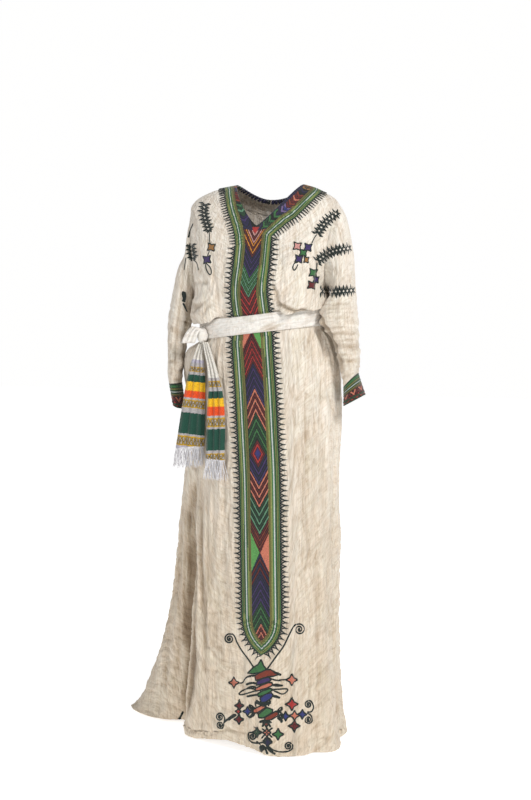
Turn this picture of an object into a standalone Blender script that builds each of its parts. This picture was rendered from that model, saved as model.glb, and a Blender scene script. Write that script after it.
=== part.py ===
"""Habesha kemis: a floor-length cotton gauze dress with an embroidered centre panel,
wide sleeves and a knotted waist sash with striped, fringed ends.

Metres, +Z up, the front faces -Y and +X is the wearer's left side.
The origin is the middle of the shoulder line, where the wearer holds the dress up.
"""
import math

import bmesh
import bpy
import numpy as np

# Driving sizes
WALL = 0.0018
BAND_WALL = 0.0012
SASH_WALL = 0.0020
SEAM_GAP = 0.0003
LAY_GAP = 0.0005
# Rows of the body and half the centre panel's width there
PANEL_HALF = ((0, 9.5, 11.5), (0.0445, 0.0445, 0.050))
PANEL_SHARE = 0.18
PANEL_CELLS = 6
OGIVE_TOP_DROP = 1.023
OGIVE_TIP_DROP = 1.136
OGIVE_POWER = 3.3
GATHERS_A_SIDE = 6
GATHER_DEPTH = 0.0026
CRINKLE_DEPTH = 0.0016
ARMHOLE_HALF = 0.055
# Any one direction, so that walls on both sides of a seam split their rims alike
RIM_ORDER = (0.31, 0.47, 0.83)

# One row for each level of the body, from the neck edge down to the hem. Heights of the front,
# side and back points, half widths either side of mid_x, depths, the angle that each panel wraps,
# how sharp the V is, the slope from side to side and how far the left side comes forward.
BODY_COLUMNS = (
    "front_z", "side_z", "back_z", "mid_x", "right", "left",
    "front_y", "side_y", "back_y", "wrap", "vee", "tilt", "skew",
)
BODY = np.array((
    (-0.097, 0.004, -0.030, 0.004, 0.071, 0.098, -0.078, 0.008, 0.078, 90, 1.25, 0.00, 0.00),
    (-0.142, -0.008, -0.056, 0.003, 0.132, 0.136, -0.098, 0.010, 0.096, 90, 1.45, 0.00, 0.00),
    (-0.178, -0.036, -0.090, 0.002, 0.184, 0.184, -0.110, 0.012, 0.106, 86, 1.70, 0.00, 0.00),
    (-0.205, -0.076, -0.130, 0.001, 0.180, 0.182, -0.118, 0.012, 0.114, 68, 1.90, 0.00, 0.00),
    (-0.233, -0.160, -0.190, -0.002, 0.170, 0.172, -0.123, 0.012, 0.118, 62, 2.00, 0.02, 0.00),
    (-0.254, -0.236, -0.242, -0.004, 0.164, 0.166, -0.122, 0.010, 0.118, 70, 2.00, 0.05, 0.00),
    (-0.270, -0.266, -0.268, -0.004, 0.160, 0.161, -0.119, 0.006, 0.115, 90, 2.00, 0.09, 0.00),
    (-0.287, -0.282, -0.287, -0.003, 0.158, 0.159, -0.115, 0.004, 0.112, 90, 2.00, 0.13, 0.00),
    (-0.301, -0.296, -0.300, -0.002, 0.157, 0.158, -0.112, 0.002, 0.110, 90, 2.00, 0.13, 0.00),
    (-0.309, -0.304, -0.308, -0.001, 0.156, 0.156, -0.111, 0.000, 0.109, 90, 2.00, 0.13, 0.00),
    (-0.313, -0.308, -0.312, 0.000, 0.155, 0.155, -0.110, 0.000, 0.108, 90, 2.00, 0.13, 0.00),
    (-0.357, -0.360, -0.360, 0.001, 0.158, 0.157, -0.110, 0.000, 0.109, 90, 2.00, 0.13, 0.00),
    (-0.387, -0.389, -0.389, 0.003, 0.184, 0.170, -0.115, 0.003, 0.117, 90, 2.00, 0.11, 0.00),
    (-0.430, -0.434, -0.434, 0.008, 0.201, 0.180, -0.122, 0.006, 0.126, 90, 2.00, 0.07, 0.00),
    (-0.500, -0.502, -0.502, 0.015, 0.214, 0.178, -0.131, 0.012, 0.136, 90, 2.00, 0.03, 0.00),
    (-0.580, -0.580, -0.580, 0.022, 0.223, 0.173, -0.141, 0.016, 0.146, 90, 2.00, 0.00, 0.01),
    (-0.700, -0.700, -0.700, 0.030, 0.237, 0.161, -0.150, 0.020, 0.160, 90, 2.00, 0.00, 0.04),
    (-0.840, -0.840, -0.840, 0.035, 0.263, 0.157, -0.160, 0.026, 0.178, 90, 2.00, 0.00, 0.08),
    (-0.980, -0.980, -0.980, 0.039, 0.286, 0.155, -0.167, 0.030, 0.198, 90, 2.00, 0.00, 0.12),
    (-1.100, -1.100, -1.100, 0.042, 0.306, 0.151, -0.172, 0.034, 0.216, 90, 2.00, 0.00, 0.15),
    (-1.220, -1.220, -1.220, 0.044, 0.326, 0.151, -0.176, 0.038, 0.236, 90, 2.00, 0.00, 0.18),
    (-1.330, -1.330, -1.330, 0.046, 0.348, 0.157, -0.181, 0.040, 0.258, 90, 2.00, 0.00, 0.21),
    (-1.382, -1.382, -1.382, 0.047, 0.360, 0.164, -0.182, 0.042, 0.268, 90, 2.00, 0.00, 0.22),
))
SHOULDER_ROW, UNDERARM_ROW, SASH_TOP_ROW, SASH_FOOT_ROW, HEM_ROW = 2, 6, 10, 11, 22

# The bodice blouses over the sash away from the centre panel: how far each row moves out and down.
POUCH_COLUMNS = ("row", "out", "sag")
POUCH = np.array((
    (4.0, 0.000, 0.000),
    (5.0, 0.006, 0.000),
    (6.0, 0.018, 0.004),
    (7.0, 0.027, 0.012),
    (8.0, 0.021, 0.022),
    (9.0, 0.0100, 0.000),
    (10.0, 0.000, 0.000),
))

# Large folds of the skirt. Angle is from the centre front, towards the wearer's left if positive.
# Depth is at the hem, negative for a trough, and grows from the start row to the full row.
FOLD_COLUMNS = ("top_angle", "hem_angle", "start_row", "full_row", "depth", "width")
FOLDS = np.array((
    (-54, -52, 14.0, 21.0, -0.048, 8.0),
    (-38, -38, 13.0, 20.0, 0.007, 12.0),
    (-92, -90, 18.0, 22.0, 0.085, 20.0),
    (-112, -122, 15.0, 21.0, -0.018, 7.0),
    (-134, -142, 13.0, 20.0, 0.014, 9.0),
    (50, 48, 13.0, 20.0, -0.007, 6.0),
    (60, 64, 16.0, 22.0, 0.024, 13.0),
    (78, 82, 13.0, 20.0, -0.009, 6.0),
    (112, 116, 13.0, 20.0, -0.018, 8.0),
    (134, 138, 13.0, 20.0, 0.014, 9.0),
    (158, 160, 13.0, 20.0, -0.018, 8.0),
    (-158, -162, 13.0, 20.0, -0.016, 7.0),
))

# How far the hem stands off the floor, at angles from the centre front
HEM_ANGLES = (-180, -95, -70, -55, -45, -32, -16, -8, 2, 14, 30, 44, 62, 78, 100, 180)
HEM_LIFTS = (
    0.000, 0.000, 0.002, 0.007, 0.003, 0.002, 0.020, 0.016, 0.003, 0.000, 0.002, 0.002, 0.000,
    0.004, 0.002, 0.000,
)

# One row for each level of a sleeve, from the armhole to the cuff.
# Upper outer point, lower inner point, the middle's depth and half the width front to back.
SLEEVE_COLUMNS = ("out_x", "out_z", "in_x", "in_z", "mid_y", "half_y")
SLEEVE_LEFT = np.array((
    (0.186, -0.036, 0.164, -0.252, 0.012, 0.055),
    (0.206, -0.072, 0.171, -0.256, 0.012, 0.066),
    (0.219, -0.132, 0.175, -0.266, 0.010, 0.068),
    (0.229, -0.196, 0.176, -0.284, 0.004, 0.067),
    (0.238, -0.258, 0.171, -0.310, -0.014, 0.063),
    (0.244, -0.318, 0.171, -0.346, -0.024, 0.056),
    (0.247, -0.378, 0.187, -0.395, -0.022, 0.046),
    (0.249, -0.424, 0.199, -0.445, -0.018, 0.038),
    (0.246, -0.456, 0.210, -0.492, -0.016, 0.031),
))
SLEEVE_RIGHT = np.array((
    (-0.184, -0.036, -0.168, -0.252, 0.012, 0.055),
    (-0.190, -0.082, -0.172, -0.260, 0.012, 0.062),
    (-0.197, -0.140, -0.176, -0.274, 0.010, 0.063),
    (-0.217, -0.196, -0.180, -0.292, 0.006, 0.061),
    (-0.230, -0.258, -0.184, -0.316, 0.000, 0.056),
    (-0.240, -0.318, -0.194, -0.350, -0.008, 0.048),
    (-0.240, -0.380, -0.201, -0.398, -0.018, 0.040),
    (-0.235, -0.436, -0.203, -0.446, -0.034, 0.033),
    (-0.229, -0.488, -0.199, -0.486, -0.050, 0.027),
))
CUFF_LEFT = np.array((
    (0.246, -0.456, 0.210, -0.492, -0.016, 0.031),
    (0.254, -0.480, 0.210, -0.514, -0.016, 0.030),
    (0.264, -0.508, 0.210, -0.537, -0.016, 0.030),
))
CUFF_RIGHT = np.array((
    (-0.229, -0.488, -0.199, -0.486, -0.050, 0.027),
    (-0.222, -0.514, -0.192, -0.516, -0.058, 0.026),
    (-0.214, -0.540, -0.185, -0.548, -0.066, 0.026),
))

# How far down the embroidered band reaches on the front and back, at shares of the way from the
# centre panel's edge to the seam.
BAND_SHARES = (
    -1, -0.7, -0.522, -0.4, -0.309, -0.24, -0.2, -0.18, 0.18, 0.24, 0.35, 0.45, 0.6, 0.8, 0.9, 1,
)
BAND_FRONT_ROWS = (
    0.58, 0.54, 0.62, 0.73, 0.83, 0.97, 1.19, 1.54, 1.14, 1.11, 1.14, 1.25, 1.27, 1.27, 1.23, 1.12,
)
BAND_BACK_SHARES = (-1.0, -0.5, 0.0, 0.5, 1.0)
BAND_BACK_ROWS = (0.58, 1.10, 1.40, 1.35, 1.12)

# Lengths that the body is made in, joined at the waist above the sash and above the knee
BODY_LENGTHS = (("bodice", 0, 10), ("skirt_upper", 10, 16), ("skirt_lower", 16, HEM_ROW))
# Rows at which the solids are cut, closer where the cloth turns
BODY_CUTS = np.array((
    0, 0.4, 0.8, 1.2, 1.6, 2, 2.5, 3, 3.5, 4, 4.5, 5, 5.5, 6, 6.5, 7, 7.5, 8, 8.5, 9, 10,
    11, 11.5, 12, 12.5, 13, 14, 15, 16, 17, 18, 19, 20, 21, 22,
))
SASH_CUTS = np.array((10, 10.35, 10.7, 11))
SASH_FOLDS = (0.0004, 0.0030, 0.0012, 0.0004)
ARM_CUTS = np.arange(SHOULDER_ROW, UNDERARM_ROW + 0.25, 0.5)
SLEEVE_PLAIN_ROWS = 7
SLEEVE_CRINKLES = 6

# The two ends of the sash below its knot: the middle of each level, half the width, how far the
# folded part turns forward, and the slope from side to side.
TAIL_COLUMNS = ("x", "y", "z", "half_width", "fold", "lean")
TAIL_FRONT = np.array((
    (-0.1345, -0.0795, -0.3840, 0.010, 0.004, 0.00),
    (-0.1385, -0.0960, -0.410, 0.012, 0.004, 0.02),
    (-0.1395, -0.1040, -0.432, 0.017, 0.003, 0.04),
    (-0.1420, -0.1080, -0.470, 0.023, 0.003, 0.06),
    (-0.1460, -0.1110, -0.515, 0.028, 0.003, 0.08),
    (-0.1500, -0.1140, -0.565, 0.032, 0.003, 0.08),
    (-0.1535, -0.1170, -0.610, 0.035, 0.003, 0.08),
    (-0.1560, -0.1190, -0.640, 0.037, 0.003, 0.08),
))
TAIL_BACK = np.array((
    (-0.1240, -0.0882, -0.3815, 0.007, 0.002, 0.00),
    (-0.1140, -0.1030, -0.402, 0.009, 0.003, 0.00),
    (-0.1020, -0.1150, -0.432, 0.011, 0.003, -0.02),
    (-0.0930, -0.1235, -0.464, 0.014, 0.003, -0.04),
    (-0.0865, -0.1290, -0.500, 0.018, 0.003, -0.06),
    (-0.0840, -0.1340, -0.545, 0.022, 0.003, -0.06),
    (-0.0830, -0.1375, -0.590, 0.0235, 0.003, -0.06),
    (-0.0835, -0.1400, -0.635, 0.0235, 0.003, -0.06),
    (-0.0845, -0.1415, -0.666, 0.0235, 0.003, -0.06),
))
TAIL_FOLDS = 1.5
TAIL_CELLS = 8
TAIL_WALL = 0.0016
# Short end of the knot, from the knot outwards
LOOP = np.array((
    (-0.1440, -0.0939, -0.344, 0.012, 0.001, -0.20),
    (-0.1540, -0.0970, -0.357, 0.015, 0.002, -0.12),
    (-0.1610, -0.0975, -0.371, 0.017, 0.002, -0.04),
    (-0.1660, -0.0970, -0.384, 0.018, 0.002, 0.00),
))
KNOT_CENTRE = (-0.1342, -0.0804, -0.3637)
KNOT_RADII = (0.0150, 0.0125, 0.0200)
FRINGE_ROOT = 0.004
FRINGE_LENGTH = 0.054
STRAND_SPLAY = (0.0, 0.35, -0.25, 0.15, -0.4, 0.3, -0.1)

# Colours from the dress
CREAM = (0.86, 0.80, 0.69)
SASH_WHITE = (0.90, 0.88, 0.84)
PANEL_GREEN = (0.16, 0.24, 0.07)
CUFF_GREEN = (0.12, 0.16, 0.06)
STRIPE_GREEN = (0.02, 0.13, 0.09)
FRINGE_WHITE = (0.82, 0.81, 0.84)


def clear_scene():
    for obj in list(bpy.data.objects):
        bpy.data.objects.remove(obj)


def cloth_material(name, colour, roughness):
    material = bpy.data.materials.new(name)
    material.use_nodes = True
    shader = material.node_tree.nodes["Principled BSDF"]
    shader.inputs["Base Color"].default_value = (*colour, 1)
    shader.inputs["Roughness"].default_value = roughness
    shader.inputs["Metallic"].default_value = 0
    return material


def smooth(x, low, high):
    share = np.clip((x - low) / (high - low), 0, 1)
    return share * share * (3 - 2 * share)


def track(table, row):
    """The table's columns at a fractional row, on a smooth curve through its rows."""
    row = np.clip(np.asarray(row, float), 0, len(table) - 1)
    at = np.minimum(row.astype(int), len(table) - 2)
    f = (row - at)[..., None]
    before, after = table[np.maximum(at - 1, 0)], table[np.minimum(at + 2, len(table) - 1)]
    start, end = table[at], table[at + 1]
    return start + 0.5 * f * (
        end - before
        + f * (2 * before - 5 * start + 4 * end - after + f * (3 * (start - end) + after - before))
    )


def body_row(row):
    r = dict(zip(BODY_COLUMNS, np.moveaxis(track(BODY, row), -1, 0)))
    inside = (row > SHOULDER_ROW) & (row < UNDERARM_ROW)
    phase = np.pi * (row - SHOULDER_ROW) / (UNDERARM_ROW - SHOULDER_ROW)
    r["arm"] = np.where(inside, ARMHOLE_HALF * np.sin(phase), 0)
    r["wrap"] = np.radians(np.where(row < SHOULDER_ROW - 1, 90, np.minimum(r["wrap"], 90)))
    return r


def turn_share(t, row, back):
    """How far round its quarter a column lies. The front's panel columns keep the panel's width."""
    across = np.abs(t)
    if back:
        return across
    r = body_row(row)
    half = np.where(t < 0, r["right"], r["left"])
    x = np.interp(row, PANEL_HALF[0], PANEL_HALF[1]) * np.minimum(across / PANEL_SHARE, 1)
    inside = np.arcsin(np.clip(x / half * np.sin(r["wrap"]), 0, 1)) / r["wrap"]
    outside = np.clip((across - PANEL_SHARE) / (1 - PANEL_SHARE), 0, 1)
    return np.where(across <= PANEL_SHARE, inside, inside + (1 - inside) * outside)


def body_form(t, row, back):
    """The body's plain form: t runs from the right side seam, -1, to the left side seam, 1."""
    t, row = np.broadcast_arrays(np.asarray(t, float), np.asarray(row, float))
    r = body_row(row)
    turn = turn_share(t, row, back) * r["wrap"]
    half = np.where(t < 0, r["right"], r["left"])
    out = np.sin(turn) / np.sin(r["wrap"])
    deep = (np.cos(turn) - np.cos(r["wrap"])) / (1 - np.cos(r["wrap"]))
    edge_y = r["side_y"] + (r["arm"] if back else -r["arm"])
    middle_y = r["back_y"] if back else r["front_y"]
    middle_z = r["back_z"] if back else r["front_z"]
    across = np.sign(t) * half * out
    x = r["mid_x"] + across
    y = edge_y + (middle_y - edge_y) * deep - r["skew"] * across
    power = np.full_like(out, 2.0) if back else r["vee"]
    z = middle_z + (r["side_z"] - middle_z) * out ** power + r["tilt"] * x
    return np.stack((x, y, z), -1)


def normals_of(form, a, b, step_a=1e-3, step_b=1e-3):
    """Unit normals of a surface form(a, b) from its slopes."""
    da = form(a + step_a, b) - form(a - step_a, b)
    db = form(a, b + step_b) - form(a, b - step_b)
    n = np.cross(da, db)
    return n / np.maximum(np.linalg.norm(n, axis=-1, keepdims=True), 1e-12)


def body_normal(form, t, row, back):
    """Outward normals. Slopes are taken inside the panel's own edges."""
    inner_t = np.clip(t, -0.998, 0.998)
    inner_row = np.clip(row, 0.002, HEM_ROW - 0.002)
    n = normals_of(lambda a, b: form(a, b, back), inner_t, inner_row)
    return n if back else -n


def body_angle(t, row, back):
    """Angle from the centre front, towards the wearer's left if positive."""
    turn = np.degrees(turn_share(t, row, back) * body_row(row)["wrap"])
    return np.where(t < 0, -1, 1) * (180 - turn if back else turn)


def fold_depth(t, row, back):
    angle = body_angle(t, row, back)
    total = np.zeros_like(angle)
    for top_angle, hem_angle, start, full, depth, width in FOLDS:
        fall = np.clip((row - start) / (full - start), 0, 1)
        centre = top_angle + (hem_angle - top_angle) * fall
        away = (angle - centre + 180) % 360 - 180
        total += depth * fall ** 1.5 * np.exp(-((away / width) ** 2))
    return total


def pouch_share(t, back):
    """0 on the centre panel, 1 where the bodice blouses freely, little under the arms."""
    under_arm = 1 - 0.65 * smooth(np.abs(t), 0.72, 0.96)
    if back:
        return 0.7 * (1 - 0.5 * smooth(np.abs(t), 0.72, 0.96))
    return np.where(t < 0, smooth(-t, 0.28, 0.50), smooth(t, 0.20, 0.38)) * under_arm


def body_cloth(t, row, back):
    """The body with its pouch over the sash and its large folds, but no gathers."""
    t, row = np.broadcast_arrays(np.asarray(t, float), np.asarray(row, float))
    base = body_form(t, row, back)
    normal = body_normal(body_form, t, row, back)
    free = pouch_share(t, back)
    out = np.interp(row, POUCH[:, 0], POUCH[:, 1]) * free
    sag = np.interp(row, POUCH[:, 0], POUCH[:, 2]) * smooth(free, 0.20, 0.9)
    level = normal * np.array((1, 1, 0))
    level /= np.maximum(np.linalg.norm(level, axis=-1, keepdims=True), 1e-6)
    moved = base + level * (out + fold_depth(t, row, back))[..., None]
    lift = np.interp(body_angle(t, row, back), HEM_ANGLES, HEM_LIFTS)
    moved[..., 2] += lift * smooth(row, HEM_ROW - 3, HEM_ROW) - sag
    return moved


def gather_depth(t, row, back):
    """Small gathers, which the sash presses flat and the centre panel and side seams stop."""
    start = 0.0 if back else PANEL_SHARE
    across = np.clip((np.abs(t) - start) / (1 - start), 0, 1)
    wave = -np.cos(across * GATHERS_A_SIDE * 2 * np.pi)
    ends = 1 - smooth(across, 0.93, 1.0)
    if not back:
        ends = ends * smooth(across, 0.0, 0.10)
    below = smooth(row, SASH_FOOT_ROW, SASH_FOOT_ROW + 1) * (1 - 0.35 * smooth(row, 16, HEM_ROW))
    above = 0.5 * smooth(row, 4, 5) * (1 - smooth(row, 7.5, 8.5))
    return GATHER_DEPTH * wave * ends * (below + above)


def shared_normal(own, other):
    """The middle of two normals where two cloths run on smoothly, the own one where they part."""
    middle = own + other
    middle /= np.maximum(np.linalg.norm(middle, axis=-1, keepdims=True), 1e-6)
    return np.where((own * other).sum(-1, keepdims=True) > 0.1, middle, own)


def edge_normal(t, row, back):
    """Normals that the front and back share along the shoulder and side seams."""
    normal = body_normal(body_cloth, t, row, back)
    at_seam = (np.abs(t) > 0.9999) & ((row <= SHOULDER_ROW) | (row >= UNDERARM_ROW))
    other = body_normal(body_cloth, t, row, not back)
    return np.where(at_seam[..., None], shared_normal(normal, other), normal)


def cloth_normal(t, row, back):
    """The body's normals, shared with the sleeve's along the armhole."""
    normal = edge_normal(t, row, back)
    for side, table in ((1.0, SLEEVE_LEFT), (-1.0, SLEEVE_RIGHT)):
        at_armhole = (t * side > 0.9999) & (row >= SHOULDER_ROW) & (row <= UNDERARM_ROW)
        phi = np.pi * (row - SHOULDER_ROW) / (UNDERARM_ROW - SHOULDER_ROW)
        phi = np.where(at_armhole, 2 * np.pi - phi if back else phi, 0)
        sleeve = sleeve_normal(side, table, phi, np.zeros_like(phi))
        normal = np.where(at_armhole[..., None], shared_normal(normal, sleeve), normal)
    return normal


def body_points(t, row, back):
    """Outer points and normals, pulled back half a seam gap at the seams."""
    t, row = np.broadcast_arrays(np.asarray(t, float), np.asarray(row, float))
    points, normal = body_cloth(t, row, back), cloth_normal(t, row, back)
    points = points + normal * gather_depth(t, row, back)[..., None]
    inward = body_cloth(t * 0.99, row, back) - points
    inward /= np.maximum(np.linalg.norm(inward, axis=-1, keepdims=True), 1e-9)
    return points + inward * (SEAM_GAP / 2 * (np.abs(t) > 0.9999))[..., None], normal


def strip_faces(left, right, left_rows, right_rows):
    """Triangles between two columns of points, whose rows need not match."""
    faces, i, j = [], 0, 0
    while i + 1 < len(left) or j + 1 < len(right):
        if i + 1 == len(left) or (j + 1 < len(right) and right_rows[j + 1] <= left_rows[i + 1]):
            faces.append((left[i], right[j], right[j + 1]))
            j += 1
        else:
            faces.append((left[i], right[j], left[i + 1]))
            i += 1
    return faces


def grid_faces(rows, columns, closed=False):
    index = np.arange(rows * columns).reshape(rows, columns)
    if closed:
        index = np.concatenate((index, index[:, :1]), 1)
    faces = []
    for j in range(index.shape[1] - 1):
        faces += strip_faces(index[:, j], index[:, j + 1], range(rows), range(rows))
    return faces


def wall(name, outer, inner, faces, material):
    """A closed cloth wall between two copies of a patch, closed along every free edge."""
    outer, inner = outer.reshape(-1, 3), inner.reshape(-1, 3)
    size = len(outer)
    edges = {(f[i], f[(i + 1) % 3]) for f in faces for i in range(3)}
    rim = [(a, b) for a, b in edges if (b, a) not in edges]
    shell = list(faces) + [(c + size, b + size, a + size) for a, b, c in faces]
    order = outer @ np.array(RIM_ORDER)
    for a, b in rim:
        if order[a] < order[b]:
            shell += [(b, a, b + size), (a, a + size, b + size)]
        else:
            shell += [(b, a, a + size), (b, a + size, b + size)]
    return solid(name, np.concatenate((outer, inner)), shell, material)


def solid(name, points, faces, material):
    mesh = bpy.data.meshes.new(name)
    mesh.from_pydata([tuple(p) for p in points], [], [tuple(int(i) for i in f) for f in faces])
    shape = bmesh.new()
    shape.from_mesh(mesh)
    bmesh.ops.recalc_face_normals(shape, faces=shape.faces)
    shape.to_mesh(mesh)
    shape.free()
    mesh.materials.append(material)
    obj = bpy.data.objects.new(name, mesh)
    bpy.context.scene.collection.objects.link(obj)
    return obj


def front_columns():
    panel = np.linspace(-PANEL_SHARE, PANEL_SHARE, PANEL_CELLS + 1)
    side = np.linspace(PANEL_SHARE, 1, 2 * GATHERS_A_SIDE + 1)[1:]
    return np.concatenate((-side[::-1], panel, side))


def back_columns():
    return np.linspace(-1, 1, 4 * GATHERS_A_SIDE + 1)


def parted(points, at_top, at_foot):
    """A piece's first and last rows of points, drawn back half a seam gap where another piece follows."""
    points = points.copy()
    for here, edge, beside in ((at_top, 0, 1), (at_foot, -1, -2)):
        if here:
            along = points[beside] - points[edge]
            along /= np.linalg.norm(along, axis=-1, keepdims=True)
            points[edge] += along * SEAM_GAP / 2
    return points


def build_body(cotton):
    """The bodice and the skirt's upper and lower lengths, in front and behind."""
    for side, columns, back in (("front", front_columns(), False), ("back", back_columns(), True)):
        t, row = np.meshgrid(columns, BODY_CUTS)
        outer, normal = body_points(t, row, back)
        inner = outer - normal * WALL
        for part, first, last in BODY_LENGTHS:
            use = (BODY_CUTS >= first) & (BODY_CUTS <= last)
            ends = first > 0, last < HEM_ROW
            faces = grid_faces(int(use.sum()), len(columns))
            wall(side + "_" + part, parted(outer[use], *ends), parted(inner[use], *ends), faces, cotton)


def panel_foot_row(t):
    """The row where the centre panel's pointed foot ends."""
    share = (1 - np.minimum(np.abs(t) / PANEL_SHARE, 1)) ** (1 / OGIVE_POWER)
    drop = OGIVE_TOP_DROP + (OGIVE_TIP_DROP - OGIVE_TOP_DROP) * share
    return np.interp(drop, -BODY[:, 0], np.arange(len(BODY)))


def build_band(name, columns, foot_rows, back, material):
    """Embroidered band laid on the cloth, from the neck edge down to its own edge."""
    start, columns_of_index, rows_of_index, t_all, row_all = 0, [], [], [], []
    for t, foot in zip(columns, foot_rows):
        rows = np.append(BODY_CUTS[BODY_CUTS < foot - 0.12], foot)
        columns_of_index.append(np.arange(start, start + len(rows)))
        rows_of_index.append(rows)
        t_all += [t] * len(rows)
        row_all += list(rows)
        start += len(rows)
    faces = []
    for j in range(len(columns) - 1):
        limit = min(foot_rows[j], foot_rows[j + 1]) + 0.7
        keep_left, keep_right = rows_of_index[j] < limit, rows_of_index[j + 1] < limit
        faces += strip_faces(
            columns_of_index[j][keep_left], columns_of_index[j + 1][keep_right],
            rows_of_index[j][keep_left], rows_of_index[j + 1][keep_right],
        )
    points, normal = body_points(np.array(t_all), np.array(row_all), back)
    wall(name, points + normal * (LAY_GAP + BAND_WALL), points + normal * LAY_GAP, faces, material)


def build_bands(material):
    columns = front_columns()
    inside = np.abs(columns) <= PANEL_SHARE + 1e-6
    foot = np.interp(columns, BAND_SHARES, BAND_FRONT_ROWS)
    build_band("band_front", columns, np.where(inside, panel_foot_row(columns), foot), False, material)
    columns = back_columns()
    foot = np.interp(columns, BAND_BACK_SHARES, BAND_BACK_ROWS)
    build_band("band_back", columns, foot, True, material)


def armhole(side, phi):
    """The armhole's loop: phi runs from the shoulder point down the front and up the back."""
    drop = UNDERARM_ROW - SHOULDER_ROW
    row_front = SHOULDER_ROW + drop * phi / np.pi
    row_back = SHOULDER_ROW + drop * (2 * np.pi - phi) / np.pi
    edge = np.full_like(phi, side)
    front = body_cloth(edge, np.minimum(row_front, UNDERARM_ROW), False)
    rear = body_cloth(edge, np.minimum(row_back, UNDERARM_ROW), True)
    return np.where((phi <= np.pi)[..., None], front, rear)


def ring_point(table, phi, level):
    out_x, out_z, in_x, in_z, mid_y, half_y = np.moveaxis(track(table, level), -1, 0)
    c, s = np.cos(phi), np.sin(phi)
    x = (out_x + in_x) / 2 + (out_x - in_x) / 2 * c
    z = (out_z + in_z) / 2 + (out_z - in_z) / 2 * c
    return np.stack((x, mid_y - half_y * s, z), -1)


def sleeve_form(side, table, phi, level):
    """A sleeve: its first ring is the armhole's own loop."""
    phi, level = np.broadcast_arrays(np.asarray(phi, float), np.asarray(level, float))
    change = armhole(side, phi % (2 * np.pi)) - ring_point(table, phi, np.zeros_like(phi))
    fade = 1 - smooth(level, 0.0, 1.6)
    return ring_point(table, phi, level) + change * fade[..., None]


def sleeve_normal(side, table, phi, level):
    level = np.clip(level, 0.002, len(table) - 1.002)
    return side * normals_of(lambda a, b: sleeve_form(side, table, a, b), phi, level)


def armhole_normal(side, table, phi):
    """The first ring's normals, shared with the body's."""
    own = sleeve_normal(side, table, phi, np.zeros_like(phi))
    share = (UNDERARM_ROW - SHOULDER_ROW) / np.pi
    edge = np.full_like(phi, side)
    front = edge_normal(edge, SHOULDER_ROW + share * np.minimum(phi, np.pi), False)
    rear = edge_normal(edge, SHOULDER_ROW + share * (2 * np.pi - np.maximum(phi, np.pi)), True)
    return shared_normal(own, np.where((phi <= np.pi)[..., None], front, rear))


def crinkle_depth(level, top):
    """Rings of crinkles on the lower sleeve, none at the cuff."""
    start = 3.0
    share = np.clip((level - start) / (top - start), 0, 1)
    wave = np.cos(share * SLEEVE_CRINKLES * 2 * np.pi)
    return -CRINKLE_DEPTH * wave * smooth(share, 0.0, 0.1) * (1 - smooth(share, 0.92, 1.0))


def sleeve_levels(top):
    plain = np.linspace(0, 3, SLEEVE_PLAIN_ROWS)
    crinkled = np.linspace(3, top, 2 * SLEEVE_CRINKLES + 1)[1:]
    return np.concatenate((plain, crinkled))


def drawn_in(points, gap):
    """The first ring moves along the tube by the seam's gap."""
    along = points[1] - points[0]
    points[0] += along / np.linalg.norm(along, axis=-1, keepdims=True) * gap
    return points


def build_sleeve(name, side, table, cuff_table, cotton, band):
    top = len(table) - 1
    turns = 2 * (len(ARM_CUTS) - 1)
    angles = np.arange(turns) * 2 * np.pi / turns
    phi, level = np.meshgrid(angles, sleeve_levels(top))

    def cuff_form(a, b):
        return ring_point(cuff_table, a, b)

    normal = sleeve_normal(side, table, phi, level)
    points = sleeve_form(side, table, phi, level) + normal * crinkle_depth(level, top)[..., None]
    normal[0] = armhole_normal(side, table, angles)
    points = drawn_in(points, SEAM_GAP)
    faces = grid_faces(*phi.shape, closed=True)
    wall("sleeve_" + name, points, points - normal * WALL, faces, cotton)

    seam_normal = normal[-1]
    cuff_top = len(cuff_table) - 1
    phi, level = np.meshgrid(angles, np.linspace(0, cuff_top, 4))
    normal = side * normals_of(cuff_form, phi, np.clip(level, 0.002, cuff_top - 0.002))
    normal[0] = seam_normal
    points = drawn_in(cuff_form(phi, level), SEAM_GAP)
    faces = grid_faces(*phi.shape, closed=True)
    wall("cuff_" + name, points, points - normal * WALL, faces, band)


def build_sash(material):
    """A folded band around the waist, over the centre panel."""
    front, rear = front_columns(), back_columns()[::-1][1:-1]
    ends = (SASH_TOP_ROW, SASH_FOOT_ROW)
    t, row = np.meshgrid(np.concatenate((front, rear)), ends)
    is_back = np.arange(t.shape[1]) >= len(front)
    points = np.where(is_back[:, None], body_cloth(t, row, True), body_cloth(t, row, False))
    along = np.roll(points, -1, 1) - np.roll(points, 1, 1)
    normal = np.cross(along, points[:1] - points[1:])
    normal /= np.linalg.norm(normal, axis=-1, keepdims=True)
    share = ((SASH_CUTS - SASH_TOP_ROW) / (SASH_FOOT_ROW - SASH_TOP_ROW))[:, None, None]
    points = points[0] * (1 - share) + points[1] * share
    normal = normal[0] * (1 - share) + normal[1] * share
    t, row = np.meshgrid(t[0], SASH_CUTS)
    over_panel = np.where(is_back, 0, 1 - smooth(np.abs(t), PANEL_SHARE + 0.02, PANEL_SHARE + 0.10))
    lift = LAY_GAP + (BAND_WALL + LAY_GAP) * over_panel
    fold = np.array(SASH_FOLDS)[:, None]
    inner = points + normal * lift[..., None]
    outer = points + normal * (lift + SASH_WALL + fold)[..., None]
    wall("sash_waist", outer, inner, grid_faces(*t.shape, closed=True), material)


def ribbon(table, across, level, folds=TAIL_FOLDS):
    """A hanging end of the sash: across runs from -1 to 1, level down its length."""
    x, y, z, half_width, fold, lean = np.moveaxis(track(table, level), -1, 0)
    wave = fold * np.cos(across * folds * 2 * np.pi)
    return np.stack((x + half_width * across, y - wave, z + lean * half_width * across), -1)


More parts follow.
